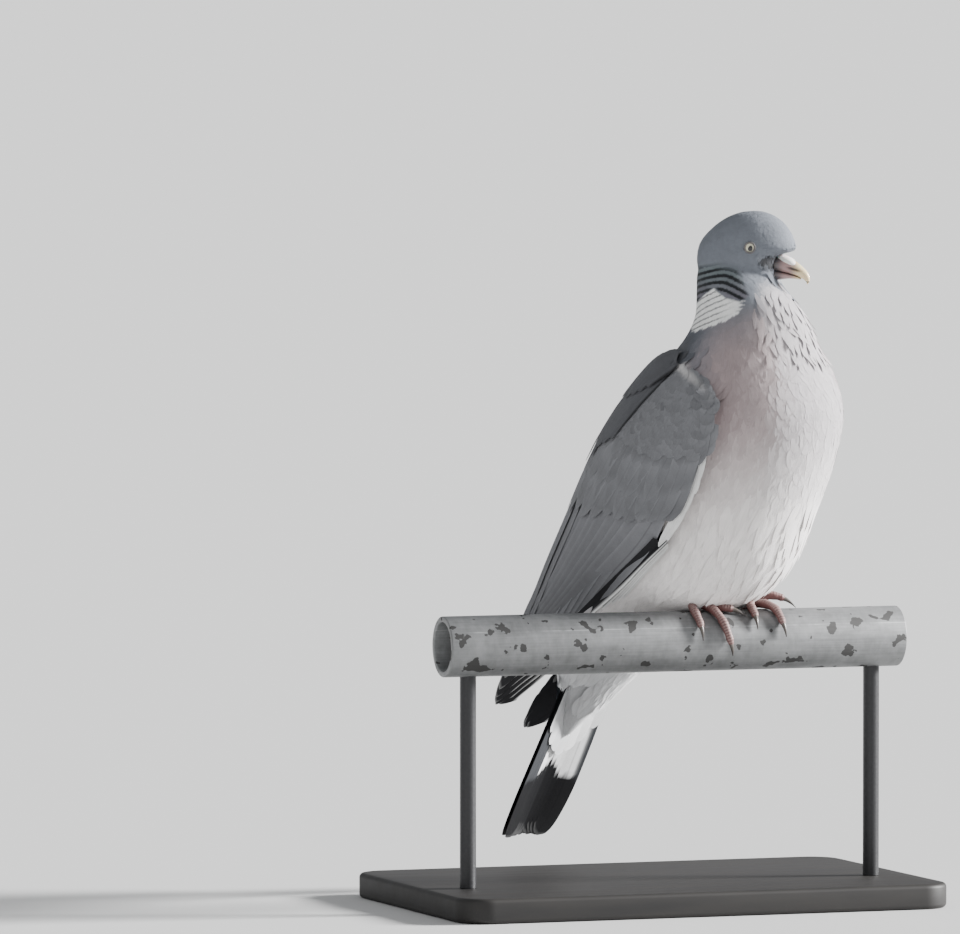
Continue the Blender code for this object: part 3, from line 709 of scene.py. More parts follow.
class Hull:
    """A surface that points are dropped onto."""

    def __init__(self, points: np.ndarray, faces: list[tuple[int, ...]]) -> None:
        """Builds the search tree and the smooth normal of each face."""
        self.points, self.faces = points, faces
        self.tree = BVHTree.FromPolygons(points.tolist(), faces)
        self.quads = quads = np.array([(*face, face[-1])[:4] for face in faces])
        corners = points[quads]
        across = np.cross(corners[:, 2] - corners[:, 0], corners[:, 3] - corners[:, 1])
        thin = np.linalg.norm(across, axis=1) < 1e-14
        across[thin] = np.cross(corners[:, 1] - corners[:, 0], corners[:, 2] - corners[:, 0])[thin]
        self.areas = np.linalg.norm(across, axis=1) / 2
        total = np.zeros_like(points)
        for k in range(4):
            np.add.at(total, quads[:, k], across)
        self.corner_normals = unit(total)
        self.normals = unit(self.corner_normals[quads].mean(axis=1))
        self.centres = corners.mean(axis=1)

    def joined(self, other: "Hull") -> "Hull":
        """This surface and another as one."""
        shift = len(self.points)
        more = [tuple(i + shift for i in face) for face in other.faces]
        return Hull(np.vstack([self.points, other.points]), self.faces + more)

    def drop(self, points: np.ndarray, outs: np.ndarray, reach: float = 0.0) -> tuple[np.ndarray, np.ndarray]:
        """The nearest place on the surface to each point, and the normal there.

        Args:
            points: what is dropped.
            outs: which way is out at each point.
            reach: how far out each drop starts, so that what lies on top is found first.
        """
        found = np.empty_like(points)
        normals = np.empty_like(points)
        for k, point in enumerate(points + outs * reach):
            place, _, index, _ = self.tree.find_nearest(point)
            found[k], normals[k] = place, self.normals[index]
        return found, normals

    def sow(
        self, zone: "CoatZone", keep: np.ndarray, rng: np.random.Generator
    ) -> tuple[np.ndarray, np.ndarray]:
        """Random roots for a zone's feathers on the faces that keep marks, well apart, and their normals."""
        chance = self.areas * keep
        picked = rng.choice(len(self.faces), zone.candidates, p=chance / chance.sum())
        s, t = rng.random((2, zone.candidates, 1))
        a, b, c, d = (self.points[self.quads[picked, k]] for k in range(4))
        roots = (a * (1 - s) + b * s) * (1 - t) + (d * (1 - s) + c * s) * t
        chosen = thinned(roots, zone.gap)
        return roots[chosen], self.normals[picked[chosen]]


def nearest_tree(points: np.ndarray) -> KDTree:
    """A search tree of the points."""
    tree = KDTree(len(points))
    for k, point in enumerate(points):
        tree.insert(point, k)
    tree.balance()
    return tree


def thinned(points: np.ndarray, gap: float) -> np.ndarray:
    """Indices of points that keep at least the gap from those kept before them."""
    tree = nearest_tree(points)
    free = np.ones(len(points), bool)
    kept = []
    for k, point in enumerate(points):
        if not free[k]:
            continue
        kept.append(k)
        for _, near, _ in tree.find_range(point, gap):
            free[near] = False
    return np.array(kept)


def march(
    roots: np.ndarray,
    normals: np.ndarray,
    way_at: Callable[[np.ndarray], np.ndarray],
    ground: Hull,
    pace: np.ndarray | float,
    turn: np.ndarray,
    steps: int,
    reach: float = 0.0,
) -> tuple[np.ndarray, np.ndarray]:
    """Shafts that start at the roots and run over the ground, and which way is out along them.

    Args:
        roots, normals: where they start, and which way is out there.
        way_at: gives which way feathers lie at points.
        ground: what they run over.
        pace: the length of a step.
        turn: how far each leans to the side of its way.
        steps: how many steps each takes.
        reach: how far out each drop to the ground starts.
    """
    shafts, outs = [roots], [normals]
    for _ in range(steps):
        out = outs[-1]
        way = levelled(way_at(shafts[-1]), out)
        way = way * np.cos(turn) + np.cross(out, way) * np.sin(turn)
        place, out = ground.drop(shafts[-1] + way * pace, out, reach)
        shafts.append(place)
        outs.append(unit(out + outs[-1] * 0.5))
    return np.stack(shafts, axis=1), np.stack(outs, axis=1)


# Colours, as linear RGB


@dataclass(frozen=True)
class NeckPatch:
    """The barred and white patch on each side of the neck, in degrees from its side towards the front."""

    axis: float = 0.006
    twist: tuple = ((0.143, 0.156, 0.171, 0.185, 0.200), (4, 8, 15, 22, 28))
    white_top: tuple = (
        (-68, -50, -31, -6, 14, 20, 30),
        (0.1700, 0.1745, 0.1800, 0.1745, 0.1730, 0.1740, 0.1770),
    )
    white_bottom: tuple = ((-68, -59, -36, -15, 7, 20), (0.1620, 0.1570, 0.1545, 0.1575, 0.1620, 0.1675))
    bars_top: tuple = ((-78, -40, -5, 12, 26), (0.1930, 0.1950, 0.1925, 0.1860, 0.1770))
    period: float = 0.0037
    white: tuple = (0.90, 0.90, 0.89)
    dark: tuple = (0.018, 0.020, 0.022)
    green: tuple = (0.120, 0.165, 0.150)
    purple: tuple = (0.190, 0.155, 0.190)

    def angles(self, points: np.ndarray) -> np.ndarray:
        """How far round the neck each point is from the side."""
        x, y, z = points.T
        twist = np.interp(z, *self.twist)
        round_it = np.degrees(np.arctan2(y, x - self.axis)) - twist
        return 90 - np.abs((round_it + 180) % 360 - 180)

    def shares(self, points: np.ndarray) -> tuple[np.ndarray, ...]:
        """How much of each point is bars, white, a dark bar and a dark line between white rows."""
        angle, z = self.angles(points), points[:, 2]
        wavy = angle + 2.6 * np.sin(z * 2900) + 1.5 * np.sin(z * 6100)
        ragged = z + 0.0006 * np.sin(angle * 0.55) + 0.0004 * np.sin(angle * 1.7)
        top = np.interp(angle, *self.white_top)
        inside = smoothstep(-76, -66, wavy) * smoothstep(20, 13, wavy)
        bottom = np.interp(angle, *self.white_bottom)
        white = smoothstep(0.0, 0.0010, top - z) * smoothstep(0.0, 0.0012, ragged - bottom)
        barred = smoothstep(0.0, 0.006, np.interp(angle, *self.bars_top) - z)
        barred = barred * smoothstep(-0.0004, 0.0010, z - top)
        barred = barred * smoothstep(-84, -74, angle) * smoothstep(30, 22, angle)
        rise = -0.00004 * (angle + 20) - 0.00015 * np.hypot(angle + 20, 14.0)
        bar = 0.5 + 0.5 * np.cos(2 * math.pi * (z - rise) / self.period)
        gap = 0.5 + 0.5 * np.cos(2 * math.pi * (z - 0.00019 * (angle + 66)) / self.period)
        return barred, white * inside, smoothstep(0.42, 0.62, bar), smoothstep(0.82, 0.94, gap)

    def paint(self, colour: np.ndarray, points: np.ndarray) -> np.ndarray:
        """The coat's colour with the patch over it."""
        barred, white, bar, gap = self.shares(points)
        shift = smoothstep(0.190, 0.172, points[:, 2])[:, None]
        colour = blend(colour, mix(self.green, self.purple, shift), barred * 0.45)
        colour = blend(colour, self.dark, barred * bar)
        colour = blend(colour, self.white, white)
        return blend(colour, self.dark, white * gap * 0.9 * smoothstep(14, -20, self.angles(points)))

    def covers(self, points: np.ndarray) -> np.ndarray:
        """Which points lie in the patch or right beside it."""
        angle, z = self.angles(points), points[:, 2]
        low = np.interp(angle, *self.white_bottom) - 0.002
        return (angle > -96) & (angle < 40) & (z > low) & (z < np.interp(angle, *self.bars_top) + 0.0065)


@dataclass(frozen=True)
class Palette:
    """The plumage's colours and where each lies."""

    patch: NeckPatch = field(default_factory=NeckPatch)
    # Dark spots between bill and eye, the lores' own dark colour deepened by painted shade from under the
    # brow: middle (x, z) and reach (x, z) in the head's frame
    lore_spots_and_shade: tuple = (
        (0.0165, -0.0050, 0.0075, 0.0019),
        (0.0132, -0.0082, 0.0058, 0.0036),
        (0.0104, -0.0064, 0.0034, 0.0024),
        (0.0158, -0.0094, 0.0030, 0.0024),
    )
    # Each tint over the head's grey: its colour, the heights and the shares of the front between which it
    # comes in, and its strength
    tints: tuple = (
        ("nape", (0.192, 0.176), (0.05, -0.45), 1.0),
        ("breast", (0.176, 0.140), (-0.50, 0.35), 1.0),
        ("bib", (0.175, 0.150), (0.35, 0.85), 0.9),
        ("throat", (0.1845, 0.1785), (0.74, 0.95), 0.95),
        ("belly", (0.112, 0.025), (-0.55, 0.15), 1.0),
        ("mantle", (0.162, 0.140), (-0.25, -0.55), 1.0),
        ("rump", (0.045, 0.015), (-0.35, -0.60), 1.0),
        ("vent", (-0.005, -0.035), (-0.6, -0.1), 1.0),
    )
    # Y over which the undertail turns from white to the grey of painted shade on the bird's right side
    shaded_side: tuple = (0.0050, -0.0030)
    # The pale streak over the wing's bend: points of its line, and how far off it fades
    bend: tuple = ((-0.0046, 0.0453, 0.1365), (0.0109, 0.0509, 0.1281), (0.0243, 0.0538, 0.1187))
    bend_reach: tuple = (0.0038, 0.0004)
    bend_white: tuple = (0.70, 0.68, 0.67)
    head: tuple = (0.172, 0.187, 0.214)
    lores_and_brow_shade: tuple = (0.016, 0.016, 0.018)
    nape: tuple = (0.108, 0.121, 0.143)
    throat: tuple = (0.460, 0.435, 0.445)
    breast: tuple = (0.335, 0.272, 0.275)
    bib: tuple = (0.400, 0.340, 0.340)
    belly: tuple = (0.850, 0.815, 0.800)
    mantle: tuple = (0.083, 0.085, 0.093)
    rump: tuple = (0.180, 0.200, 0.232)
    undertail: tuple = (0.640, 0.646, 0.656)
    vent: tuple = (0.880, 0.880, 0.880)
    white: tuple = (0.860, 0.860, 0.850)
    covert: tuple = (0.180, 0.183, 0.194)
    secondary: tuple = (0.168, 0.170, 0.181)
    primary: tuple = (0.018, 0.018, 0.020)
    tail_upper: tuple = (0.130, 0.135, 0.150)
    tail_pale: tuple = (0.860, 0.860, 0.862)
    tail_outer_dark: tuple = (0.040, 0.042, 0.046)
    tail_band: tuple = (0.006, 0.006, 0.007)

    def coat(self, points: np.ndarray, lie: Lie, face: np.ndarray) -> np.ndarray:
        """The colour of the body's coat at points in the bird's frame.

        Args:
            points: where.
            lie: the lie of the coat.
            face: the same points in the head's frame.
        """
        _, _, ventral = lie.at(points)
        z = points[:, 2]
        colour = np.tile(np.array(self.head), (len(points), 1))
        for middle_x, middle_z, reach_x, reach_z in self.lore_spots_and_shade:
            off = np.hypot((face[:, 0] - middle_x) / reach_x, (face[:, 2] - middle_z) / reach_z)
            # the lores' own dark, deepened with painted shade under the brow
            colour = blend(colour, self.lores_and_brow_shade, smoothstep(1.2, 0.35, off) * 0.9)
        for name, heights, front, strength in self.tints:
            share = smoothstep(*heights, z) * smoothstep(*front, ventral) * strength
            colour = blend(colour, getattr(self, name), share)
        share = smoothstep(-0.010, -0.040, z) * smoothstep(-0.6, -0.2, ventral)
        # painted shade greys the undertail on the bird's right side
        colour = blend(colour, self.undertail, share * smoothstep(*self.shaded_side, points[:, 1]))
        return self.patch.paint(colour, points)

    def bend_share(self, points: np.ndarray) -> np.ndarray:
        """How much of the pale streak over the wing's bend lies at each point, strongest at its upper end."""
        mirrored = points * (1.0, 0.0, 1.0) + np.abs(points) * (0.0, 1.0, 0.0)
        nearest = np.full(points.shape[:-1], 1.0)
        line = smooth_rows(self.bend, 40)
        share = np.zeros(points.shape[:-1])
        for place, strength in zip(line, np.linspace(0.90, 0.15, len(line))):
            off = np.linalg.norm(mirrored - place, axis=-1)
            share = np.where(off < nearest, smoothstep(*self.bend_reach, off) * strength, share)
            nearest = np.minimum(nearest, off)
        return share[..., None]


def blend(colour: np.ndarray, other: Sequence[float], share: np.ndarray) -> np.ndarray:
    """The colour moved towards another by a share at each point."""
    return mix(colour, other, share[:, None])


# Vanes


@dataclass(frozen=True)
class VaneCut:
    """How a kind of feather is cut: its outline, its camber and its ragged end."""

    rows: int = 6
    columns: int = 7
    root: float = 0.45
    widest: float = 0.55
    tip: float = 0.42
    blunt: float = 0.22
    fringe: float = 0.05
    camber: float = 0.05
    lead: float = 1.0
    relief: float = 0.35

    def places(self) -> tuple[np.ndarray, np.ndarray]:
        """Places along a feather, 0 to 1, and across it, -1 to 1, shaped to stretch over the corners."""
        u = np.linspace(0, 1, self.rows)[None, :, None, None]
        return u, np.linspace(-1, 1, self.columns)[None, None, :, None]

    def outline(self) -> np.ndarray:
        """Half width along the feather, as a share of its widest."""
        u = np.linspace(0, 1, self.rows)
        rising = self.root + (1 - self.root) * smoothstep(0, self.widest, u)
        ending = np.clip((u - self.widest) / (1 - self.widest), 0, 1)
        return rising * (1 - (1 - self.tip) * ending**2.2)


@dataclass
class Vanes:
    """A batch of feathers of one cut, each given by the line of its shaft.

    Attributes:
        cut: how they are cut.
        shafts: (count, rows, 3) points along each shaft.
        normals: (count, rows, 3) which way is out.
        widths: (count,) half widths.
        colours: (count, rows, columns, 3) or anything that stretches to it.
        roots: (count, 2) each root's place on an unwrap, 0 to 1.
        patch: how much of the unwrap each covers.
        mirror: 1 where the leading side has the higher columns, else -1.
    """

    cut: VaneCut
    shafts: np.ndarray
    normals: np.ndarray
    widths: np.ndarray
    colours: np.ndarray
    roots: np.ndarray
    patch: tuple[float, float] = (0.003, 0.003)
    mirror: int = 1

    def corners(self, rng: np.random.Generator) -> np.ndarray:
        """The points of every vane, (count, rows, columns, 3)."""
        cut = self.cut
        count = len(self.shafts)
        ways = unit(np.gradient(self.shafts, axis=1))
        sides = unit(np.cross(self.normals, ways))
        lengths = np.linalg.norm(np.diff(self.shafts, axis=1), axis=2).sum(1)
        u, v = cut.places()
        half = (self.widths[:, None] * cut.outline()[None])[:, :, None, None]
        half = half * np.where(v * self.mirror > 0, cut.lead, 1.0)
        half = half * (1 + rng.uniform(-0.4, 0.4, (count, cut.rows, 1, 1)) * cut.fringe)
        ragged = rng.uniform(-1, 1, (count, 1, cut.columns, 1)) * cut.fringe * u**3 * (1 - v**2)
        along = lengths[:, None, None, None] * (ragged - cut.blunt * v**2 * u**2.5)
        return (
            self.shafts[:, :, None]
            + sides[:, :, None] * (half * v)
            + ways[:, :, None] * along
            - self.normals[:, :, None] * (half * cut.camber * v**2)
        )

    def shading(self, corners: np.ndarray) -> np.ndarray:
        """Each corner's normal: the ground's own, with a share of the vane's relief."""
        across = np.cross(np.gradient(corners, axis=1), np.gradient(corners, axis=2))
        ground = np.broadcast_to(self.normals[:, :, None], corners.shape)
        return unit(ground * (1 - self.cut.relief) + unit(across) * self.cut.relief)

    def faces(self) -> np.ndarray:
        """The faces of every vane, as rows of four corners."""
        rows, columns = self.cut.rows, self.cut.columns
        i, j = np.meshgrid(np.arange(rows - 1), np.arange(columns - 1), indexing="ij")
        low = (i * columns + j).ravel()
        one = np.stack([low, low + 1, low + columns + 1, low + columns], axis=1)[:, ::-1]
        shift = np.arange(len(self.shafts)) * rows * columns
        return (one[None] + shift[:, None, None]).reshape(-1, 4)

    def flat_places(self) -> tuple[np.ndarray, np.ndarray]:
        """Each corner's place on its own vane, 0 to 1, and on the unwrap."""
        cut = self.cut
        u = np.linspace(0, 1, cut.rows)[None, :, None]
        v = np.linspace(0, 1, cut.columns)[None, None, :]
        shape = (len(self.shafts), cut.rows, cut.columns)
        own = np.stack([np.broadcast_to(v, shape), np.broadcast_to(u, shape)], axis=-1)
        return own, self.roots[:, None, None] + (own - 0.5) * np.array(self.patch)


def plumage_piece(
    name: str, batches: Sequence[Vanes], place: Matrix, rng: np.random.Generator
) -> bpy.types.Object:
    """One object of many vanes.

    Args:
        name: the piece's name.
        batches: the vanes, in the bird's frame.
        place: the bird's frame.
        rng: draws the ragged ends.
    """
    points, faces, colours, owns, unwraps, normals = [], [], [], [], [], []
    shift = 0
    for batch in batches:
        corners = batch.corners(rng)
        own, unwrap = batch.flat_places()
        tone = np.broadcast_to(batch.colours, corners.shape)
        points.append(corners.reshape(-1, 3))
        normals.append(batch.shading(corners).reshape(-1, 3))
        faces.append(batch.faces() + shift)
        colours.append(tone.reshape(-1, 3))
        owns.append(own.reshape(-1, 2))
        unwraps.append(unwrap.reshape(-1, 2))
        shift += len(points[-1])
    every = moved(np.vstack(points), place)
    quads = np.vstack(faces)
    mesh = bpy.data.meshes.new(name)
    mesh.vertices.add(len(every))
    mesh.vertices.foreach_set("co", every.astype(np.float32).ravel())
    mesh.loops.add(quads.size)
    mesh.loops.foreach_set("vertex_index", quads.astype(np.int32).ravel())
    mesh.polygons.add(len(quads))
    mesh.polygons.foreach_set("loop_start", (np.arange(len(quads)) * 4).astype(np.int32))
    mesh.update(calc_edges=True)
    mesh.shade_smooth()
    for layer, flat in (("Vane", np.vstack(owns)), ("OFBake", np.clip(np.vstack(unwraps), 0.001, 0.999))):
        data = mesh.uv_layers.new(name=layer).data
        data.foreach_set("uv", flat[quads.ravel()].astype(np.float32).ravel())
    piece = linked(name, mesh)
    paint(piece, np.vstack(colours))
    turned = np.vstack(normals) @ np.array(place)[:3, :3].T
    mesh.normals_split_custom_set_from_vertices(turned.astype(np.float32).tolist())
    return piece


def strips(count: int) -> tuple[np.ndarray, tuple[float, float]]:
    """The middles of upright strips that share an unwrap, and how much of it each covers."""
    middles = 0.02 + 0.96 * (np.arange(count) + 0.5) / count
    return np.stack([middles, np.full(count, 0.5)], axis=1), (0.90 * 0.96 / count, 0.96)


def spaced_roots(places: np.ndarray, cells: int = 277) -> np.ndarray:
    """Places on an unwrap of cells by cells, stretched to fill it and shifted so that no two share a cell."""
    low, high = places.min(0), places.max(0)
    spread = 0.01 + 0.98 * (places - low) / np.maximum(high - low, 1e-9)
    grid = np.clip((spread * cells).astype(int), 0, cells - 1)
    taken: set[tuple[int, int]] = set()
    for k, (i, j) in enumerate(grid):
        tries = 0
        while (i, j) in taken:
            tries += 1
            i = (grid[k, 0] + (tries * 7) % 23 - 11) % cells
            j = (grid[k, 1] + (tries * 5) % 19 - 9) % cells
        taken.add((i, j))
        grid[k] = i, j
    return (grid + 0.5) / cells


# The body's form, its skin and its coat


class BodyForm:
    """The outline that the coat reaches, and the skin that lies under it."""

    voxel = 0.0012
    body_rings, body_points = 70, 56
    head_rings, head_points = 56, 64
    face_reach = (0.0040, 0.0090, 0.0125, 0.0150, 0.0165, 0.0180)
    face_width = (0.0166, 0.0144, 0.0112, 0.0074, 0.0050, 0.0034)
    bill_root = 0.0158

    def __init__(self, places: Places, lie: Lie) -> None:
        """Joins the trunk, neck and head into one smooth form."""
        self.places, self.lie = places, lie
        faces = loft_faces(self.body_rings, self.body_points)
        body = mesh_piece("skin", self.trunk_points(), faces)
        head_faces = loft_faces(self.head_rings, self.head_points)
        head = mesh_piece("head_form", self.skull_points(), head_faces)
        select_only(body)
        head.select_set(True)
        bpy.ops.object.join()
        body.data.remesh_voxel_size = self.voxel
        bpy.ops.object.voxel_remesh()
        smooth = body.modifiers.new("smooth", "SMOOTH")
        smooth.factor, smooth.iterations = 0.5, 9
        bpy.ops.object.modifier_apply(modifier="smooth")
        self.object = body
        polygons = [tuple(face.vertices) for face in body.data.polygons]
        self.hull = Hull(corner_points(body), polygons)

    def trunk_points(self) -> np.ndarray:
        """Rings of the trunk and neck, turned as the neck turns."""
        angles = even_angles(self.body_points)
        axis = np.array([HEAD_CENTRE[0], HEAD_CENTRE[1], 0])
        rings = []
        for *ends, width, turn in smooth_rows(BODY_SECTIONS, self.body_rings):
            twist = Matrix.Rotation(math.radians(turn), 4, "Z")
            rings.append(moved(oval(ends[:2], ends[2:], width, angles) - axis, twist) + axis)
        return np.vstack(rings)

    def skull_points(self) -> np.ndarray:
        """Rings of the head."""
        angles = even_angles(self.head_points)
        sections = smooth_rows(HEAD_SECTIONS, self.head_rings)
        rings = [oval((x, top), (x, bottom), width, angles) for x, top, bottom, width in sections]
        return moved(self.carved(np.vstack(rings)), self.places.head_in_bird)

    def carved(self, points: np.ndarray) -> np.ndarray:
        """The head with its face drawn in to the bill's root, under the forehead."""
        x, y, z = points.T
        band = smoothstep(0.0008, -0.0034, z)
        widest = np.interp(x, self.face_reach, self.face_width)
        narrow = np.minimum(1.0, widest / np.maximum(np.abs(y), 1e-9))
        back = np.maximum(x - self.bill_root, 0.0)
        return np.stack([x - back * band, y * (1 - band * (1 - narrow)), z], axis=1)

    def face(self, points: np.ndarray) -> np.ndarray:
        """Points of the bird's frame in the head's."""
        return moved(points, self.places.head_in_bird.inverted())

    def depth(self, run: np.ndarray) -> np.ndarray:
        """How deep the coat is at a distance along the spine."""
        return np.interp(run, (0.0, 0.02, 0.05, 0.08), (0.0004, 0.0008, 0.0014, 0.0022))

    def unwrap(self, points: np.ndarray) -> np.ndarray:
        """Places on an unwrap of the skin: round the spine, and along it."""
        share = self.lie.weights(points)
        _, run, ventral = self.lie.at(points)
        outward = points - share @ self.lie.points
        round_it = np.arctan2(outward[:, 1], ventral * np.linalg.norm(outward, axis=1))
        return np.stack([0.02 + 0.93 * (round_it / (2 * math.pi) + 0.5), run / self.lie.run[-1]], axis=1)

    def make_skin(self, palette: Palette) -> None:
        """Turns the form into the skin: sunk by the coat's depth, painted and unwrapped."""
        skin = self.object
        points = self.hull.points
        _, run, _ = self.lie.at(points)
        sunk = points - self.hull.corner_normals * self.depth(run)[:, None]
        set_corners(skin, moved(sunk, self.places.bird))
        skin.data.update()
        skin.data.shade_smooth()
        paint(skin, palette.coat(points, self.lie, self.face(points)) * 0.9)
        flat = self.unwrap(points)
        flat[:, 1] = 0.01 + 0.98 * (flat[:, 1] - flat[:, 1].min()) / np.ptp(flat[:, 1])
        loops = np.empty(len(skin.data.loops), np.int32)
        skin.data.loops.foreach_get("vertex_index", loops)
        starts = np.array([face.loop_start for face in skin.data.polygons])
        sizes = np.array([face.loop_total for face in skin.data.polygons])
        corner = flat[loops]
        owner = np.repeat(np.arange(len(starts)), sizes)
        high = np.maximum.reduceat(corner[:, 0], starts)[owner]
        low = np.minimum.reduceat(corner[:, 0], starts)[owner]
        crossing = (high - low > 0.5) & (corner[:, 0] < 0.5)
        corner[crossing, 0] = 0.965
        layer = skin.data.uv_layers.new(name="OFBake")
        layer.data.foreach_set("uv", corner.astype(np.float32).ravel())
        finish_piece(skin, SkinFinish().make(), "plumage", "trunk", "neck", "head")


@dataclass(frozen=True)
class CoatZone:
    """A stretch of the coat whose feathers share a size.

    Attributes:
        name: the piece's name.
        stretch: its start and end, as distances along the spine.
        back: whether it covers the back; None covers both sides.
        gap, length, width, rise: the feathers' spacing, length, half width and how far the tips stand off.
        cut: how they are cut.
        candidates: how many places are tried.
    """

    name: str
    stretch: tuple[float, float]
    back: bool | None
    gap: float
    length: float
    width: float
    rise: float
    cut: VaneCut
    candidates: int
    turn: float = 8.0


SMALL = VaneCut(rows=4, columns=5, root=0.6, tip=0.65, blunt=0.14, fringe=0.06, camber=0.05, relief=0.20)
FINE = VaneCut(rows=9, columns=5, root=0.6, tip=0.65, blunt=0.14, fringe=0.06, camber=0.05, relief=0.20)
NECK = VaneCut(rows=6, columns=7, tip=0.62, blunt=0.14, fringe=0.06, camber=0.04, relief=0.16)
SOFT = VaneCut(rows=7, columns=9, tip=0.62, blunt=0.14, fringe=0.06, camber=0.03, relief=0.12)
TUFT = VaneCut(
    rows=8, columns=7, root=0.5, widest=0.4, tip=0.40, blunt=0.05, fringe=0.10, camber=0.10, relief=0.30
)
COAT_ZONES = (
    CoatZone("coat_face", (-1.0, 0.0165), None, 0.00080, 0.0030, 0.0010, 0.0002, SMALL, 26000, 5.0),
    CoatZone("coat_head", (0.0165, 0.042), None, 0.00125, 0.0058, 0.0019, 0.0003, SMALL, 36000, 5.0),
    CoatZone("coat_neck", (0.042, 0.075), None, 0.0017, 0.0095, 0.0028, 0.0002, NECK, 34000, 6.0),
    CoatZone("coat_breast", (0.075, 0.250), False, 0.0034, 0.0190, 0.0052, 0.0002, SOFT, 52000, 6.0),
    CoatZone("coat_back", (0.075, 0.250), True, 0.0046, 0.0210, 0.0078, 0.0008, SOFT, 16000, 6.0),
    CoatZone("coat_vent", (0.250, 1.0), None, 0.0036, 0.0210, 0.0052, 0.0003, SOFT, 14000, 4.0),
)
THROAT_TUFTS = CoatZone("throat_ruffle", (0, 1), None, 0.0036, 0.0130, 0.0015, 0.0, TUFT, 3000, 13.0)
BELLY_TUFTS = CoatZone("belly_ruffle", (0, 1), None, 0.0058, 0.0240, 0.0026, 0.0, TUFT, 3000, 7.0)
PATCH_ZONE = CoatZone("coat_neck_patch", (-1.0, 1.0), None, 0.00115, 0.0050, 0.0017, 0.0003, FINE, 30000, 4.0)


class Coat:
    """The body's feathers, zone by zone."""

    most_quads = 88000
    climb, climbs_from = 0.0035, 0.0095
    lowest = -0.050
    vent_from, vent_half_width = -0.032, 0.013
    back_from = -0.25
    shoulder = 0.28
    # Where a wing hides the coat: how near it has to be, and from and to which place on its sheet
    hidden_by, hidden_s, hidden_t = 0.014, (0.06, 0.97), (0.10, 0.84)
    seam, uneven = 0.0022, 0.022
    lid = 0.0006
    # The bill's root, which has no feathers: how far forward it starts, its half width and its heights
    bare_from, bare_half, bare_heights = 0.0150, 0.0048, (-0.0172, -0.0030)

    def __init__(self, form: BodyForm, palette: Palette, wings: "Sequence[Wing]", tail: "Tail") -> None:
        """Joins what the feathers lie on: the body, the wings and the tail."""
        self.form, self.palette = form, palette
        self.finish = FeatherFinish("body_feathers").make()
        self.hidden = self.under_wings(wings)
        self.ground = form.hull.joined(tail.underside())
        for wing in wings:
            self.ground = self.ground.joined(wing.sheet_hull(self.shoulder))

    def under_wings(self, wings: "Sequence[Wing]") -> np.ndarray:
        """Which of the form's faces a wing covers well inside its edges."""
        hidden = np.zeros(len(self.form.hull.faces), bool)
        for wing in wings:
            s, t, away = wing.blade.locate(self.form.hull.centres)
            inside = (s > self.hidden_s[0]) & (s < self.hidden_s[1])
            hidden |= inside & (t > self.hidden_t[0]) & (t < self.hidden_t[1]) & (away < self.hidden_by)
        return hidden

    def lay(self, zone: CoatZone, seed: int) -> None:
        """Lays one zone's feathers, in as many pieces as its count needs."""
        rng = np.random.default_rng(seed)
        form, hull = self.form, self.form.hull
        _, run, ventral = form.lie.at(hull.centres)
        run = run + rng.normal(0, self.seam, len(run))
        keep = (run >= zone.stretch[0]) & (run < zone.stretch[1]) & ~self.hidden
        if zone.back is not None:
            keep &= (ventral < self.back_from) == zone.back
        keep &= self.palette.patch.covers(hull.centres) == (zone is PATCH_ZONE)
        height, off = hull.centres[:, 2], np.abs(hull.centres[:, 1])
        keep &= self.feathered(form.face(hull.centres)) & (height > self.lowest)
        keep &= (height > self.vent_from) | (off < self.vent_half_width)
        roots, normals = hull.sow(zone, keep.astype(float), rng)
        order = np.argsort(np.arctan2(roots[:, 1], -roots[:, 0] + 0.5 * roots[:, 2]))
        pieces = math.ceil(len(order) * (zone.cut.rows - 1) * (zone.cut.columns - 1) / self.most_quads)
        for number, part in enumerate(np.array_split(order, pieces)):
            name = zone.name if pieces == 1 else f"{zone.name}_{number + 1}"
            vanes = self.vanes(roots[part], normals[part], zone, rng)
            piece = plumage_piece(name, [vanes], form.places.bird, rng)
            finish_piece(piece, self.finish, "plumage")

    def vanes(
        self, roots: np.ndarray, normals: np.ndarray, zone: CoatZone, rng: np.random.Generator
    ) -> Vanes:
        """The feathers that start at the roots."""
        shafts, outs = self.march(roots, normals, zone, rng)
        u = np.linspace(0, 1, zone.cut.rows)[None, :, None]
        stand = rng.normal(0, 0.10, (len(roots), 1, 1)) * zone.rise
        shafts = shafts + outs * (zone.rise * (smoothstep(0, 0.9, u) - 1.0) + stand * u)
        widths = zone.width * rng.uniform(0.88, 1.12, len(roots))
        places = spaced_roots(self.form.unwrap(roots))
        vanes = Vanes(zone.cut, shafts, outs, widths, np.zeros(3), places)
        corners = vanes.corners(np.random.default_rng(0))
        vanes.colours = self.tones(corners, zone, rng)
        return vanes

    def ruffle(
        self, zone: CoatZone, heights: tuple[float, float], least: float, stand: float, seed: int
    ) -> None:
        """Loose tufts that stand out down the front.

        Args:
            zone: their size and spacing.
            heights: the lowest and highest place of their roots.
            least: how far towards the front their roots have to lie.
            stand: how far the tips stand out at most.
            seed: draws their small differences.
        """
        rng = np.random.default_rng(seed)
        hull = self.form.hull
        _, _, ventral = self.form.lie.at(hull.centres)
        keep = (ventral > least) & (hull.centres[:, 2] > heights[0]) & (hull.centres[:, 2] < heights[1])
        roots, normals = hull.sow(zone, keep.astype(float), rng)
        vanes = self.vanes(roots, normals, zone, rng)
        u = np.linspace(0, 1, zone.cut.rows)[None, :, None]
        off = rng.uniform(0.1 * stand, stand, (len(roots), 1, 1)) * u**1.5
        vanes.shafts = vanes.shafts + vanes.normals * off
        vanes.colours = vanes.colours * 1.08
        piece = plumage_piece(zone.name, [vanes], self.form.places.bird, rng)
        finish_piece(piece, self.finish, "plumage")

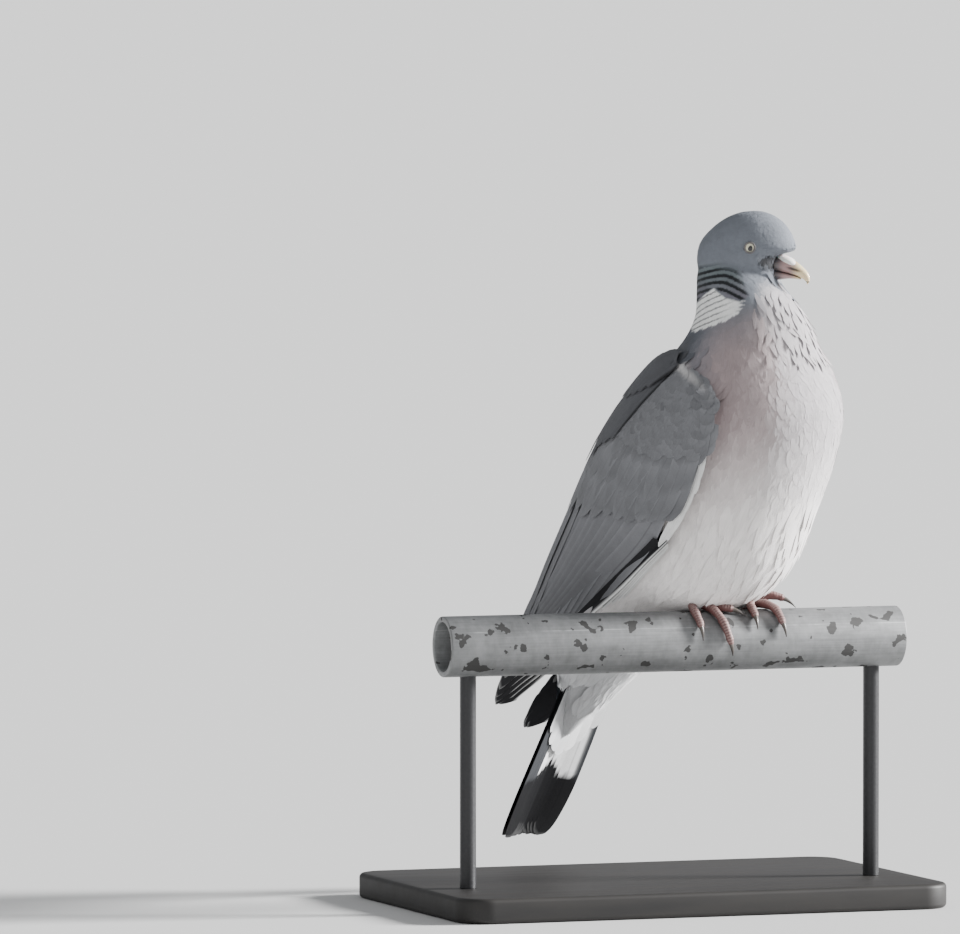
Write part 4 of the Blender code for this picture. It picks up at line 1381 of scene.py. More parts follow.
    def feathered(self, local: np.ndarray) -> np.ndarray:
        """False round the eyes and the bill's root, in the head's frame, where no feather starts."""
        keep = np.ones(len(local), bool)
        for side in Side:
            centre = np.array([EYE_CENTRE[0], side.value * EYE_CENTRE[1], EYE_CENTRE[2]])
            off = np.linalg.norm((local - centre)[:, [0, 2]], axis=1)
            keep &= (off > EYE_OPENING + self.lid) | (local[:, 1] * side.value < 0)
        x, y, z = local.T
        bare = (x > self.bare_from) & (np.abs(y) < self.bare_half)
        return keep & ~(bare & (z > self.bare_heights[0]) & (z < self.bare_heights[1]))

    def march(
        self, roots: np.ndarray, normals: np.ndarray, zone: CoatZone, rng: np.random.Generator
    ) -> tuple[np.ndarray, np.ndarray]:
        """Shafts that start at the roots and follow the lie of the coat over whatever lies there."""
        steps = zone.cut.rows - 1
        length = zone.length * rng.uniform(0.85, 1.15, (len(roots), 1))
        turn = np.radians(rng.normal(0, zone.turn, (len(roots), 1)))
        reach = self.climb if zone.length > self.climbs_from else 0.0
        lie, pace = self.form.lie, length / steps
        line, outs = march(roots, normals, lambda at: lie.at(at)[0], self.ground, pace, turn, steps, reach)
        for _ in range(2 if reach else 0):
            line[:, 1:-1] = 0.25 * line[:, :-2] + 0.5 * line[:, 1:-1] + 0.25 * line[:, 2:]
        return line, outs

    def tones(self, corners: np.ndarray, zone: CoatZone, rng: np.random.Generator) -> np.ndarray:
        """Each feather's colour, darker at its hidden root and a little paler round its edge."""
        flat = corners.reshape(-1, 3)
        if zone is PATCH_ZONE:
            base = self.palette.coat(flat, self.form.lie, self.form.face(flat)).reshape(corners.shape)
        else:
            seen = corners[:, int(zone.cut.rows * 0.8), zone.cut.columns // 2]
            base = self.palette.coat(seen, self.form.lie, self.form.face(seen))[:, None, None]
        base = base * rng.normal(1.0, self.uneven, (len(corners), 1, 1, 1))
        base = mix(base, self.palette.bend_white, self.palette.bend_share(corners))
        u, v = zone.cut.places()
        return base * (0.95 + 0.05 * smoothstep(0.1, 0.6, u) + 0.02 * u**4 + 0.01 * v**4)


# Wings


class Blade:
    """A folded wing's outer face as a sheet: s runs from shoulder to tip, t from rear to leading edge."""

    along, across = 60, 25
    edge_margin = 0.08
    lead_rows, end_rows = 5, 5

    def __init__(self, sections: Sequence[Sequence[float]], side: Side, hang: Matrix) -> None:
        """Works out the sheet's grid of points and normals."""
        rows = smooth_rows(sections, self.along)
        uppers, lowers = rows[:, None, :3], rows[:, None, 3:6]
        middles = (rows[:, :3] + rows[:, 3:6]) / 2
        alongs = np.gradient(middles, axis=0)
        chords = rows[:, 3:6] - rows[:, :3]
        out = unit(np.cross(alongs, chords))[:, None]
        share = np.linspace(0, 1, self.across)[None, :, None]
        edge = 2 * share - 1
        swell = np.sqrt(np.maximum(0.0, 1 - edge**4))
        bulge, thick = rows[:, None, 6:7], rows[:, None, 7:8]
        off = bulge * (1 - edge**2) + thick * (0.18 + 0.32 * swell)
        grid = uppers + (lowers - uppers) * share + out * off
        grid[..., 1] *= -side.value
        self.grid = moved(grid.reshape(-1, 3), hang).reshape(grid.shape)
        along_way, across_way = np.gradient(self.grid, axis=0), np.gradient(self.grid, axis=1)
        self.normals = unit(np.cross(along_way, across_way)) * -side.value
        self.tree = nearest_tree(self.grid.reshape(-1, 3))

    def at(self, s: np.ndarray, t: np.ndarray) -> tuple[np.ndarray, np.ndarray]:
        """Points and normals at places on the sheet, carried on straight beyond its edges."""
        i = np.clip(s, 0, 1) * (self.along - 1)
        i0 = np.minimum(i.astype(int), self.along - 2)
        fi = (i - i0)[..., None]
        found = []
        for grid, margin in ((self.grid, 0.0), (self.normals, self.edge_margin)):
            j = np.clip(t, margin, 1 - margin) * (self.across - 1)
            j0 = np.minimum(j.astype(int), self.across - 2)
            fj = (j - j0)[..., None]
            low = grid[i0, j0] * (1 - fj) + grid[i0, j0 + 1] * fj
            high = grid[i0 + 1, j0] * (1 - fj) + grid[i0 + 1, j0 + 1] * fj
            found.append(low * (1 - fi) + high * fi)
        lead = (self.grid[i0, -1] - self.grid[i0, -1 - self.lead_rows]) * ((self.across - 1) / self.lead_rows)
        rear = self.grid[i0, 0] * (0.0, 1.0, 0.0)
        points = found[0] + lead * np.maximum(t - 1, 0)[..., None] + rear * np.minimum(t, 0)[..., None]
        run = self.grid[-1, self.across // 2] - self.grid[-1 - self.end_rows, self.across // 2]
        points = points + run * (self.along / self.end_rows * (s - np.clip(s, 0, 1)))[..., None]
        return points, unit(found[1])

    def hull(self, turned: bool, end: float = 1.0) -> Hull:
        """The sheet from its root to end, as a surface to lay feathers on; turned reverses its faces."""
        rows = int(self.along * end)
        return Hull(self.grid[:rows].reshape(-1, 3), sheet_faces(rows, self.across, turned))

    def locate(self, points: np.ndarray) -> tuple[np.ndarray, np.ndarray, np.ndarray]:
        """The nearest place on the sheet to each point, as s and t, and how far off it is."""
        s, t, away = np.empty((3, len(points)))
        for k, point in enumerate(points):
            _, index, distance = self.tree.find(point)
            s[k] = index // self.across / (self.along - 1)
            t[k] = index % self.across / (self.across - 1)
            away[k] = distance
        return s, t, away


@dataclass(frozen=True)
class FeatherRow:
    """A row of like feathers laid on a sheet, from its rear end to its leading one.

    Attributes:
        name: what they are.
        count: how many.
        roots, tips: places on the sheet, (s, t), through which the roots and the tips run.
        width: half width at the row's two ends.
        lift: how far off the sheet the feathers lie, at the row's two ends.
        droop: how much deeper the root lies than the tip.
        cut: how they are cut.
    """

    name: str
    count: int
    roots: tuple[tuple[float, float], ...]
    tips: tuple[tuple[float, float], ...]
    width: tuple[float, float]
    lift: tuple[float, float]
    droop: float
    cut: VaneCut
    jitter: float = 0.006

    def lines(self, sheet: Blade, rng: np.random.Generator) -> tuple[np.ndarray, np.ndarray]:
        """The shafts and their normals."""
        roots = smooth_rows(self.roots, self.count) + rng.normal(0, self.jitter, (self.count, 2))
        tips = smooth_rows(self.tips, self.count) + rng.normal(0, self.jitter, (self.count, 2))
        u = np.linspace(0, 1, self.cut.rows)[None, :, None]
        flat = roots[:, None] * (1 - u) + tips[:, None] * u
        points, normals = sheet.at(flat[..., 0], flat[..., 1])
        lift = np.linspace(*self.lift, self.count)[:, None, None] - self.droop * (1 - smoothstep(0, 0.7, u))
        return points + normals * lift, normals


LONG = VaneCut(
    rows=18, columns=9, root=0.7, widest=0.35, tip=0.75, blunt=0.06, fringe=0.006, camber=0.04, relief=0.35
)
PRIMARY = VaneCut(
    rows=26, columns=11, root=0.7, widest=0.3, tip=0.62, blunt=0.07, fringe=0.003, camber=0.03, lead=0.38,
    relief=0.5,
)
COVERT = VaneCut(
    rows=10, columns=9, root=0.7, widest=0.5, tip=0.80, blunt=0.17, fringe=0.016, camber=0.04, relief=0.30
)
STRAP = VaneCut(
    rows=14, columns=9, root=0.7, widest=0.4, tip=0.60, blunt=0.10, fringe=0.010, camber=0.06, relief=0.40
)
WING_ROWS = (
    FeatherRow(
        "secondaries", 12, ((0.34, 0.14), (0.36, 0.50), (0.38, 0.92)),
        ((1.0, 0.26), (0.98, 0.56), (0.94, 0.84), (0.86, 0.99)),
        (0.0110, 0.0080), (0.0002, 0.0012), 0.0015, LONG,
    ),
    FeatherRow(
        "tertials", 5, ((0.24, -0.35), (0.28, 0.0), (0.34, 0.18)),
        ((0.62, -0.30), (0.80, 0.0), (0.985, 0.22)),
        (0.0120, 0.0130), (0.0014, 0.0009), 0.0015, LONG,
    ),
    FeatherRow(
        "greater_coverts", 12, ((0.25, 0.04), (0.25, 0.50), (0.24, 0.78), (0.22, 0.91)),
        ((0.53, 0.05), (0.51, 0.48), (0.49, 0.82), (0.44, 1.0)),
        (0.0092, 0.0066), (0.0012, 0.0016), 0.0012, COVERT,
    ),
    FeatherRow(
        "median_coverts", 12, ((0.19, 0.04), (0.20, 0.50), (0.19, 0.78), (0.17, 0.90)),
        ((0.435, 0.05), (0.43, 0.48), (0.415, 0.80), (0.365, 0.98)),
        (0.0086, 0.0062), (0.0015, 0.0018), 0.0012, COVERT,
    ),
    FeatherRow(
        "lower_lesser_coverts", 12, ((0.13, 0.04), (0.14, 0.50), (0.13, 0.78), (0.11, 0.90)),
        ((0.35, 0.05), (0.35, 0.50), (0.335, 0.80), (0.29, 0.98)),
        (0.0080, 0.0060), (0.0018, 0.0018), 0.0012, COVERT,
    ),
)
SCAPULAR_ROWS = (
    FeatherRow(
        "long_scapulars", 9, ((0.12, -0.45), (0.07, 0.10), (0.045, 0.36)),
        ((0.46, -0.45), (0.43, 0.06), (0.36, 0.24), (0.33, 0.36)),
        (0.0095, 0.0046), (0.0022, 0.0032), 0.0012, STRAP,
    ),
    FeatherRow(
        "short_scapulars", 9, ((0.02, -0.60), (0.0, 0.05), (0.0, 0.34)),
        ((0.28, -0.60), (0.24, 0.05), (0.17, 0.31)),
        (0.0100, 0.0055), (0.0028, 0.0036), 0.0012, STRAP,
    ),
)
EDGE_ROW = FeatherRow(
    "wing_edge", 8, ((0.22, 0.96), (0.38, 1.0)),
    ((0.34, 1.03), (0.53, 1.05)),
    (0.0020, 0.0030), (0.0004, 0.0008), 0.0006, COVERT,
)


class Wing:
    """One folded wing: its coverts, secondaries and primaries."""

    primary_tips = (0.965, 1.0, 0.985, 0.93, 0.86, 0.79, 0.72)
    primary_root, primary_lead, primary_step = 0.02, 0.92, 0.16
    primary_lift, primary_sink, primary_width = 0.00045, 0.0026, 0.0100
    uneven = 0.035

    def __init__(self, side: Side, places: Places, palette: Palette) -> None:
        """Works out the wing's sheets."""
        hang = Matrix.Identity(4)
        if side is Side.LEFT:
            hinge = Matrix.Translation(WING_HINGE)
            turn = Matrix.Rotation(LEFT_WING_DROOP, 4, "Y") @ Matrix.Rotation(LEFT_WING_CLOSE, 4, "Z")
            hang = Matrix.Translation(LEFT_WING_SHIFT) @ hinge @ turn @ hinge.inverted()
        self.side, self.places, self.palette = side, places, palette
        self.blade = Blade(WING_SECTIONS, side, hang)
        self.tip = Blade(WINGTIP_SECTIONS, side, hang)

    def sheet_hull(self, end: float = 1.0) -> Hull:
        """The wing's outer face, as far as end, as a surface to lay small feathers on."""
        return self.blade.hull(self.side is Side.RIGHT, end)

    def row(self, row: FeatherRow, shade: Callable, rng: np.random.Generator) -> Vanes:
        """The vanes of one row.

        Args:
            row: what they are.
            shade: gives each corner's colour from its place along and across its vane.
            rng: draws their small differences.
        """
        shafts, normals = row.lines(self.blade, rng)
        widths = np.linspace(*row.width, row.count) * rng.uniform(0.95, 1.05, row.count)
        return self.laid(row.cut, shafts, normals, widths, shade, rng)

    def laid(
        self,
        cut: VaneCut,
        shafts: np.ndarray,
        normals: np.ndarray,
        widths: np.ndarray,
        shade: Callable,
        rng: np.random.Generator,
    ) -> Vanes:
        """Large feathers of one cut, each with a strip of the unwrap to itself."""
        mirror = -self.side.value
        u, v = cut.places()
        tone = shade(u, mirror * v) * rng.normal(1.0, self.uneven, (len(shafts), 1, 1, 1))
        return Vanes(cut, shafts, normals, widths, tone, *strips(len(shafts)), mirror)

    def primaries(self, rng: np.random.Generator) -> Vanes:
        """The long outer feathers, which show as a stair of leading edges, the inner ones on top."""
        count = len(self.primary_tips)
        order = np.arange(count)[:, None]
        u = np.linspace(0, 1, PRIMARY.rows)[None]
        s = self.primary_root + (np.array(self.primary_tips)[:, None] - self.primary_root) * u
        points, normals = self.tip.at(s, self.primary_lead - self.primary_step * order)
        lift = self.primary_lift * order - self.primary_sink * (1 - smoothstep(0.25, 0.75, u))
        points = points + normals * lift[..., None]
        widths = np.full(count, self.primary_width)
        return self.laid(PRIMARY, points, normals, widths, self.primary_shade, rng)

    def covert_shade(self, u: np.ndarray, v: np.ndarray) -> np.ndarray:
        """A covert: grey, darker towards its round tip, with a thin pale edge."""
        edge = smoothstep(0.86, 1.0, np.maximum(np.abs(v), u**6))
        return np.array(self.palette.covert) * (1.06 - 0.26 * smoothstep(0.55, 0.95, u) + 0.16 * edge)

    def secondary_shade(self, u: np.ndarray, v: np.ndarray) -> np.ndarray:
        """A secondary: grey, darker towards its tip, with a fine pale rim."""
        edge = smoothstep(0.90, 1.0, np.maximum(np.abs(v), u**12))
        return np.array(self.palette.secondary) * (1.14 - 0.62 * u**1.5 + 0.20 * edge)

    def scapular_shade(self, u: np.ndarray, v: np.ndarray) -> np.ndarray:
        """A scapular: brownish grey, with a blackish leading edge of painted shadow for the gap beside it."""
        # painted shadow of the gap along the leading edge
        edge = smoothstep(0.45, 0.90, v) * smoothstep(0.0, 0.10, u) * smoothstep(1.0, 0.90, u)
        return np.array(self.palette.mantle) * (1.10 - 0.12 * u) * (1 - 0.88 * edge)

    def primary_shade(self, u: np.ndarray, v: np.ndarray) -> np.ndarray:
        """A primary: blackish with a narrow white outer edge and a pale fringe at its tip."""
        start = 0.50 + 0.30 * smoothstep(0.35, 0.80, u)
        edge = smoothstep(0.0, 0.25, v - start) * smoothstep(0.99, 0.90, u)
        fringe = smoothstep(0.975, 1.0, u) * 0.30
        return mix(self.palette.primary, self.palette.white, np.maximum(edge, fringe))

    def white_shade(self, u: np.ndarray, _: np.ndarray) -> np.ndarray:
        """A white feather of the wing's leading edge."""
        return np.array(self.palette.white) * (0.88 + 0.12 * u)

    def build(self, seed: int) -> None:
        """Makes the wing's pieces."""
        word, bird = self.side.word, self.places.bird
        rng = np.random.default_rng(seed)
        flight = FeatherFinish(
            f"flight_feathers_{word}",
            barbs=110.0, slant=14.0, contrast=0.05, streaks=0.14,
            shaft=0.25, roughness=0.66, sheen=0.0, gloss=0.14,
        ).make()
        covert = FeatherFinish(
            f"wing_coverts_{word}", barbs=60.0, slant=10.0, depth=0.00005, shaft=0.10, roughness=0.7
        ).make()
        shades = {LONG: self.secondary_shade, COVERT: self.covert_shade, STRAP: self.scapular_shade}
        for row in (*WING_ROWS, *SCAPULAR_ROWS, EDGE_ROW):
            shade = self.white_shade if row is EDGE_ROW else shades[row.cut]
            piece = plumage_piece(f"{row.name}_{word}", [self.row(row, shade, rng)], bird, rng)
            hides = (f"wing_{word}",) if row.name == "secondaries" else ()
            finish_piece(piece, flight if row.cut is LONG else covert, "wing", *hides)
        tips = plumage_piece(f"primaries_{word}", [self.primaries(rng)], bird, rng)
        finish_piece(tips, flight, "wing", f"wingtip_{word}")


SMALL_COVERT = VaneCut(
    rows=6, columns=7, root=0.6, tip=0.75, blunt=0.18, fringe=0.04, camber=0.04, relief=0.28
)


class SmallCoverts:
    """The lesser coverts, scattered over the top of each wing."""

    zone = CoatZone("lesser_coverts", (0, 1), None, 0.0030, 0.0120, 0.0044, 0.0, SMALL_COVERT, 16000, 4.0)
    reach, rear = 0.27, 0.33
    low, high = 0.0012, 0.0024
    ahead = 0.05

    def __init__(self, coat: Coat, wing: Wing) -> None:
        """Keeps the wing's sheet."""
        self.coat, self.wing = coat, wing
        self.sheet = wing.sheet_hull()

    def build(self, seed: int) -> None:
        """Lays them."""
        rng = np.random.default_rng(seed)
        zone, blade, palette = self.zone, self.wing.blade, self.coat.palette
        s, t, _ = blade.locate(self.sheet.centres)
        keep = (s < self.reach - 0.06 * t**4) & (t > self.rear)
        roots, normals = self.sheet.sow(zone, keep.astype(float), rng)
        steps = zone.cut.rows - 1
        turn = np.radians(rng.normal(0, zone.turn, (len(roots), 1)))
        shafts, outs = march(roots, normals, self.way, self.sheet, zone.length / steps, turn, steps)
        start, across, _ = blade.locate(roots)
        u = np.linspace(0, 1, zone.cut.rows)[None, :, None]
        lift = self.low + (self.high - self.low) * smoothstep(0, 0.8, u)
        lift = lift * (0.45 + 0.55 * smoothstep(0.0, 0.07, start)[:, None, None])
        shafts = shafts + outs * (lift + rng.normal(0, 0.00005, (len(shafts), 1, 1)))
        widths = zone.width * rng.uniform(0.9, 1.1, len(shafts))
        places = spaced_roots(np.stack([start, across], axis=1))
        vanes = Vanes(zone.cut, shafts, outs, widths, self.colours(len(start), rng), places)
        share = palette.bend_share(vanes.corners(np.random.default_rng(0)))
        vanes.colours = mix(vanes.colours, palette.bend_white, share)
        word = self.wing.side.word
        piece = plumage_piece(f"{zone.name}_{word}", [vanes], self.coat.form.places.bird, rng)
        finish = FeatherFinish(
            f"small_coverts_{word}", barbs=40.0, slant=8.0, depth=0.00005, shaft=0.06, roughness=0.74
        )
        finish_piece(piece, finish.make(), "wing")

    def colours(self, count: int, rng: np.random.Generator) -> np.ndarray:
        """The feathers' colours, a little mottled."""
        base = np.array(self.coat.palette.covert) * rng.normal(1.0, 0.06, (count, 1))
        u, v = self.zone.cut.places()
        return base[:, None, None] * (1.04 - 0.14 * smoothstep(0.5, 0.95, u) + 0.10 * v**6)

    def way(self, points: np.ndarray) -> np.ndarray:
        """Which way the wing runs on at points over its sheet."""
        blade = self.wing.blade
        s, t, _ = blade.locate(points)
        return blade.at(np.minimum(s + self.ahead, 1.0), t)[0] - blade.at(s, t)[0]


# Tail


class TailSheet(Blade):
    """The folded tail's upper face: s runs from its root to its tip, t from its right edge to its left."""

    along, across = 40, 21

    def __init__(self) -> None:
        """Works out the arched sheet."""
        rows = smooth_rows(TAIL_SECTIONS, self.along)
        ways = unit(np.gradient(rows[:, :2], axis=0))
        turn = np.radians(rows[:, 4])[:, None]
        radius = rows[:, 2:3] / np.sin(turn)
        angle = turn * np.linspace(-1, 1, self.across)[None]
        none = np.zeros(self.along)
        top = np.stack([ways[:, 1], none, -ways[:, 0]], axis=1)[:, None]
        middle = np.stack([rows[:, 0], none, rows[:, 1]], axis=1)[:, None]
        out = top * np.cos(angle)[..., None] + np.array([0, 1, 0]) * np.sin(angle)[..., None]
        self.grid = middle - top * radius[..., None] + out * radius[..., None]
        self.normals = unit(out)


class Tail:
    """Twelve long feathers, folded over each other, seen grey from above and pale from below."""

    feathers = 12
    cut = VaneCut(
        rows=54, columns=11, root=0.6, widest=0.4, tip=0.74, blunt=0.032, fringe=0.003, camber=0.03,
        relief=0.5,
    )
    half_width = 0.0088
    end, end_less, end_uneven = 0.995, 0.022, 0.004
    spread, root_spread = 0.72, 0.60
    band, band_less, band_soft, band_bow = 0.054, 0.014, 0.0016, 0.0045
    fringe, fringe_tone, fringe_share = (0.0022, 0.0006), 0.10, 0.6
    gap, stacked, tilt = 0.0005, 0.55, 0.00012
    wall = 0.0010
    coverts, covert_width, covert_spread = 7, 0.0066, 0.36
    covert_ends, covert_rise = (0.56, 0.40), 0.0008
    covert_reach = 0.62

    def __init__(self, places: Places, palette: Palette) -> None:
        """Works out the tail's sheet."""
        self.places, self.palette, self.sheet = places, palette, TailSheet()

    def underside(self) -> Hull:
        """The lower face of the tail's first half, which the coverts below it lie on."""
        rows = int(self.sheet.along * self.covert_reach)
        grid = self.sheet.grid[:rows] - self.sheet.normals[:rows] * (self.wall + self.covert_rise)
        return Hull(grid.reshape(-1, 3), sheet_faces(rows, self.sheet.across, turned=True))

    def layer(self, face: int, rng: np.random.Generator) -> Vanes:
        """One layer of feathers; face is 1 for what shows from above and -1 for what shows from below."""
        count = self.feathers
        order = np.linspace(-1, 1, count)
        u = np.linspace(0, 1, self.cut.rows)
        tips = self.end - self.end_less * np.abs(order) ** 2 + rng.normal(0, self.end_uneven, count)
        t = 0.5 + 0.5 * (order * self.spread)[:, None] * (self.root_spread + (1 - self.root_spread) * u)
        points, normals = self.sheet.at(tips[:, None] * u, t)
        stack = (1 - np.abs(order)) if face > 0 else np.abs(order)
        tilt = self.tilt * np.arange(count) / count
        lift = self.wall * 0.5 + self.gap * count / 2 * stack * self.stacked + tilt
        points = points + face * normals * lift[:, None, None]
        widths = np.full(count, self.half_width)
        colours = self.colours(points, face, order, rng)
        return Vanes(self.cut, points, face * normals, widths, colours, *strips(count), face)

    def colours(
        self, points: np.ndarray, face: int, order: np.ndarray, rng: np.random.Generator
    ) -> np.ndarray:
        """The black end band, and grey above it or white below it."""
        run = run_along(points)
        left = (run[:, -1:] - run)[:, :, None, None]
        v = face * self.cut.places()[1]
        length = (self.band - self.band_less * np.abs(order) ** 1.3)[:, None, None, None]
        wavy = left + self.band_bow * v**2 + rng.normal(0, 0.0005, (len(points), 1, self.cut.columns, 1))
        band = smoothstep(length + self.band_soft, length - self.band_soft, wavy)
        base = self.palette.tail_upper if face > 0 else self.palette.tail_pale
        # a dark strip along the outer feathers, wide at one edge of the tail and narrow at the other
        start = np.where(order < -0.95, -1.3, np.where(order < -0.7, 0.1, 0.45))[:, None, None, None]
        outer = smoothstep(0.0, 0.2, face * v * np.sign(order)[:, None, None, None] - start)
        outer = outer * ((order < -0.7) | (order > 0.95))[:, None, None, None]
        colour = mix(mix(base, self.palette.tail_outer_dark, outer), self.palette.tail_band, band)
        return mix(colour, self.fringe_tone, smoothstep(*self.fringe, left) * self.fringe_share)

    def undertail(self, rng: np.random.Generator) -> Vanes:
        """The long soft coverts that lie along the tail's lower face."""
        count = 2 * self.coverts
        order = np.tile(np.linspace(-1, 1, self.coverts), 2)
        row = np.repeat((0, 1), self.coverts)
        u = np.linspace(0, 1, LONG.rows)
        tips = np.array(self.covert_ends)[row] - 0.10 * order**2 + rng.normal(0, 0.006, count)
        s = 0.02 + (tips[:, None] - 0.02) * u
        t = 0.5 + (order * self.covert_spread)[:, None] * (0.7 + 0.3 * u) + rng.normal(0, 0.01, (count, 1))
        points, normals = self.sheet.at(s, t)
        lift = self.wall + 0.0022 + 0.0012 * row[:, None] + 0.0008 * (1 - order**2)[:, None] - 0.0006 * u
        points = points - normals * lift[..., None]
        # the bird's right side greyed as painted shade
        grey = smoothstep(*self.palette.shaded_side, points[:, -1:, 1])[:, :, None, None]
        colours = mix(self.palette.vent, self.palette.undertail, grey)
        colours = colours * (0.94 + 0.06 * u)[None, :, None, None]
        return Vanes(LONG, points, -normals, np.full(count, self.covert_width), colours, *strips(count), -1)

    def build(self, seed: int) -> None:
        """Makes the tail's pieces."""
        rng = np.random.default_rng(seed)
        finish = FeatherFinish(
            "tail_feathers",
            barbs=130.0, slant=16.0, contrast=0.05, streaks=0.12,
            shaft=0.25, roughness=0.70, sheen=0.0, gloss=0.10,
        ).make()
        for name, face, nodes in (("tail_above", 1, ("tail",)), ("tail_below", -1, ())):
            piece = plumage_piece(name, [self.layer(face, rng)], self.places.bird, rng)
            finish_piece(piece, finish, "tail", *nodes)
        soft = FeatherFinish(
            "undertail_coverts", barbs=60.0, slant=8.0, contrast=0.04, streaks=0.08, depth=0.00003
        )
        piece = plumage_piece("undertail_coverts", [self.undertail(rng)], self.places.bird, rng)
        finish_piece(piece, soft.make(), "tail")


# Head


EYE_CENTRE = (0.0035, 0.0124, 0.0021)
EYE_RADIUS = 0.0046
EYE_OPENING = 0.0026


class Eye:
    """An eyeball with a pale iris, and the ring of bare skin round it."""

    segments, rings = 96, 96
    pupil_at, pupil_half = (0.00040, 0.00022), (0.00118, 0.00160)
    lean, lean_reach = 0.22, 0.0018
    iris, iris_edge = (0.66, 0.63, 0.48), 0.0027
    streak, streaks = 0.05, 23
    behind = 0.012
    lid_reach, lid_thick, lid_colour = 0.0003, 0.00052, (0.135, 0.128, 0.130)
    lid_segments, lid_sides, wrinkles = 72, 16, 26

    def __init__(self, side: Side, places: Places) -> None:
        """Keeps where the eye looks."""
        self.side, self.places = side, places
        self.centre = Vector((EYE_CENTRE[0], side.value * EYE_CENTRE[1], EYE_CENTRE[2]))
        self.look = Vector((0.10, side.value, 0.02)).normalized()

    def build(self, ball_finish: bpy.types.Material, ring_finish: bpy.types.Material) -> None:
        """Makes the ball and the ring."""
        turn = self.look.to_track_quat("Z", "Y").to_matrix().to_4x4()
        place = self.places.head @ Matrix.Translation(self.centre) @ turn
        name = f"eyeball_{self.side.word}"
        ball = primitive(name, "uv_sphere", segments=self.segments, ring_count=self.rings, radius=EYE_RADIUS)
        bpy.ops.object.shade_smooth()
        colour = self.colours(corner_points(ball), place)
        ball.data.transform(place)
        paint(ball, colour)
        finish_piece(ball, ball_finish, "eye", f"eye_{self.side.word}")
        self.ring(place, ring_finish)

    def colours(self, local: np.ndarray, place: Matrix) -> np.ndarray:
        """A pale iris round a pupil that is drawn down to the front, at points in the eye's own frame."""
        forward = self.places.head.to_3x3() @ Vector((1, 0, -0.3))
        front = np.array(place.to_3x3().inverted() @ forward)[:2]
        front = front / max(np.linalg.norm(front), 1e-6)
        ahead = local[:, :2] @ front
        above = local[:, :2] @ np.array([-front[1], front[0]]) * np.sign(front[0])
        off = np.hypot(local[:, 0], local[:, 1])
        lean = 1 + self.lean * np.clip(-above / self.lean_reach, -1, 1)
        pupil_ahead = (ahead - self.pupil_at[0]) / (self.pupil_half[0] * lean)
        pupil = np.hypot(pupil_ahead, (above + self.pupil_at[1]) / self.pupil_half[1])
        streak = 1 + self.streak * np.sin(np.arctan2(local[:, 1], local[:, 0]) * self.streaks)
        colour = np.array(self.iris) * streak[:, None]
        colour = colour * (1 - 0.55 * smoothstep(0.0019, 0.0026, off))[:, None]
        colour = colour * (1 - 0.45 * smoothstep(0.0002, 0.0026, ahead - above))[:, None]
        colour = colour * smoothstep(0.96, 1.10, pupil)[:, None] + 0.003
        return np.where(((off > self.iris_edge) | (local[:, 2] < 0))[:, None], self.behind, colour)

    def ring(self, place: Matrix, finish: bpy.types.Material) -> None:
        """The lids: a low, finely wrinkled ring round the opening."""
        height = math.sqrt(EYE_RADIUS**2 - EYE_OPENING**2)
        sizes = {"major_segments": self.lid_segments, "minor_segments": self.lid_sides}
        reach = EYE_OPENING + self.lid_reach
        lids = primitive(
            f"eyelids_{self.side.word}", "torus", major_radius=reach, minor_radius=self.lid_thick, **sizes
        )
        bpy.ops.object.shade_smooth()
        points = corner_points(lids)
        wrinkle = np.sin(np.arctan2(points[:, 1], points[:, 0]) * self.wrinkles)
        points[:, 2] += height + 0.00005 * wrinkle
        set_corners(lids, points)
        lids.data.transform(place)
        paint(lids, np.tile(self.lid_colour, (len(points), 1)) * (1 + 0.15 * wrinkle)[:, None])
        finish_piece(lids, finish, "cere")


@dataclass(frozen=True)
class BillHalf:
    """One half of the bill: top (x, z), bottom (x, z) and half width of each section."""

    name: str
    sections: tuple[tuple[float, ...], ...]
    rings: int = 80
    sides: int = 64

    def points(self) -> np.ndarray:
        """Its rings in the head's frame."""
        angles = even_angles(self.sides)
        sections = smooth_rows(self.sections, self.rings)
        return np.vstack([oval(row[:2], row[2:4], row[4], angles) for row in sections])


UPPER_BILL = BillHalf(
    "upper_bill",
    (
        (0.0137, -0.0045, 0.0127, -0.0108, 0.0044),
        (0.0187, -0.0034, 0.0177, -0.0118, 0.0046),
        (0.0230, -0.0036, 0.0222, -0.0129, 0.0040),
        (0.0273, -0.0060, 0.0257, -0.0139, 0.0033),
        (0.0309, -0.0089, 0.0282, -0.0145, 0.0027),
        (0.0337, -0.0120, 0.0302, -0.0152, 0.0021),
        (0.0347, -0.0146, 0.0317, -0.0161, 0.0015),
        (0.0346, -0.0168, 0.0327, -0.0172, 0.0008),
        (0.0337, -0.0184, 0.0332, -0.0184, 0.0003),
    ),
)
LOWER_BILL = BillHalf(
    "lower_bill",
    (
        (0.0129, -0.0098, 0.0137, -0.0163, 0.0041),
        (0.0177, -0.0108, 0.0185, -0.0159, 0.0039),
        (0.0222, -0.0119, 0.0229, -0.0154, 0.0034),
        (0.0257, -0.0130, 0.0262, -0.0155, 0.0027),
        (0.0281, -0.0138, 0.0285, -0.0158, 0.0019),
        (0.0296, -0.0148, 0.0298, -0.0160, 0.0008),
    ),
)


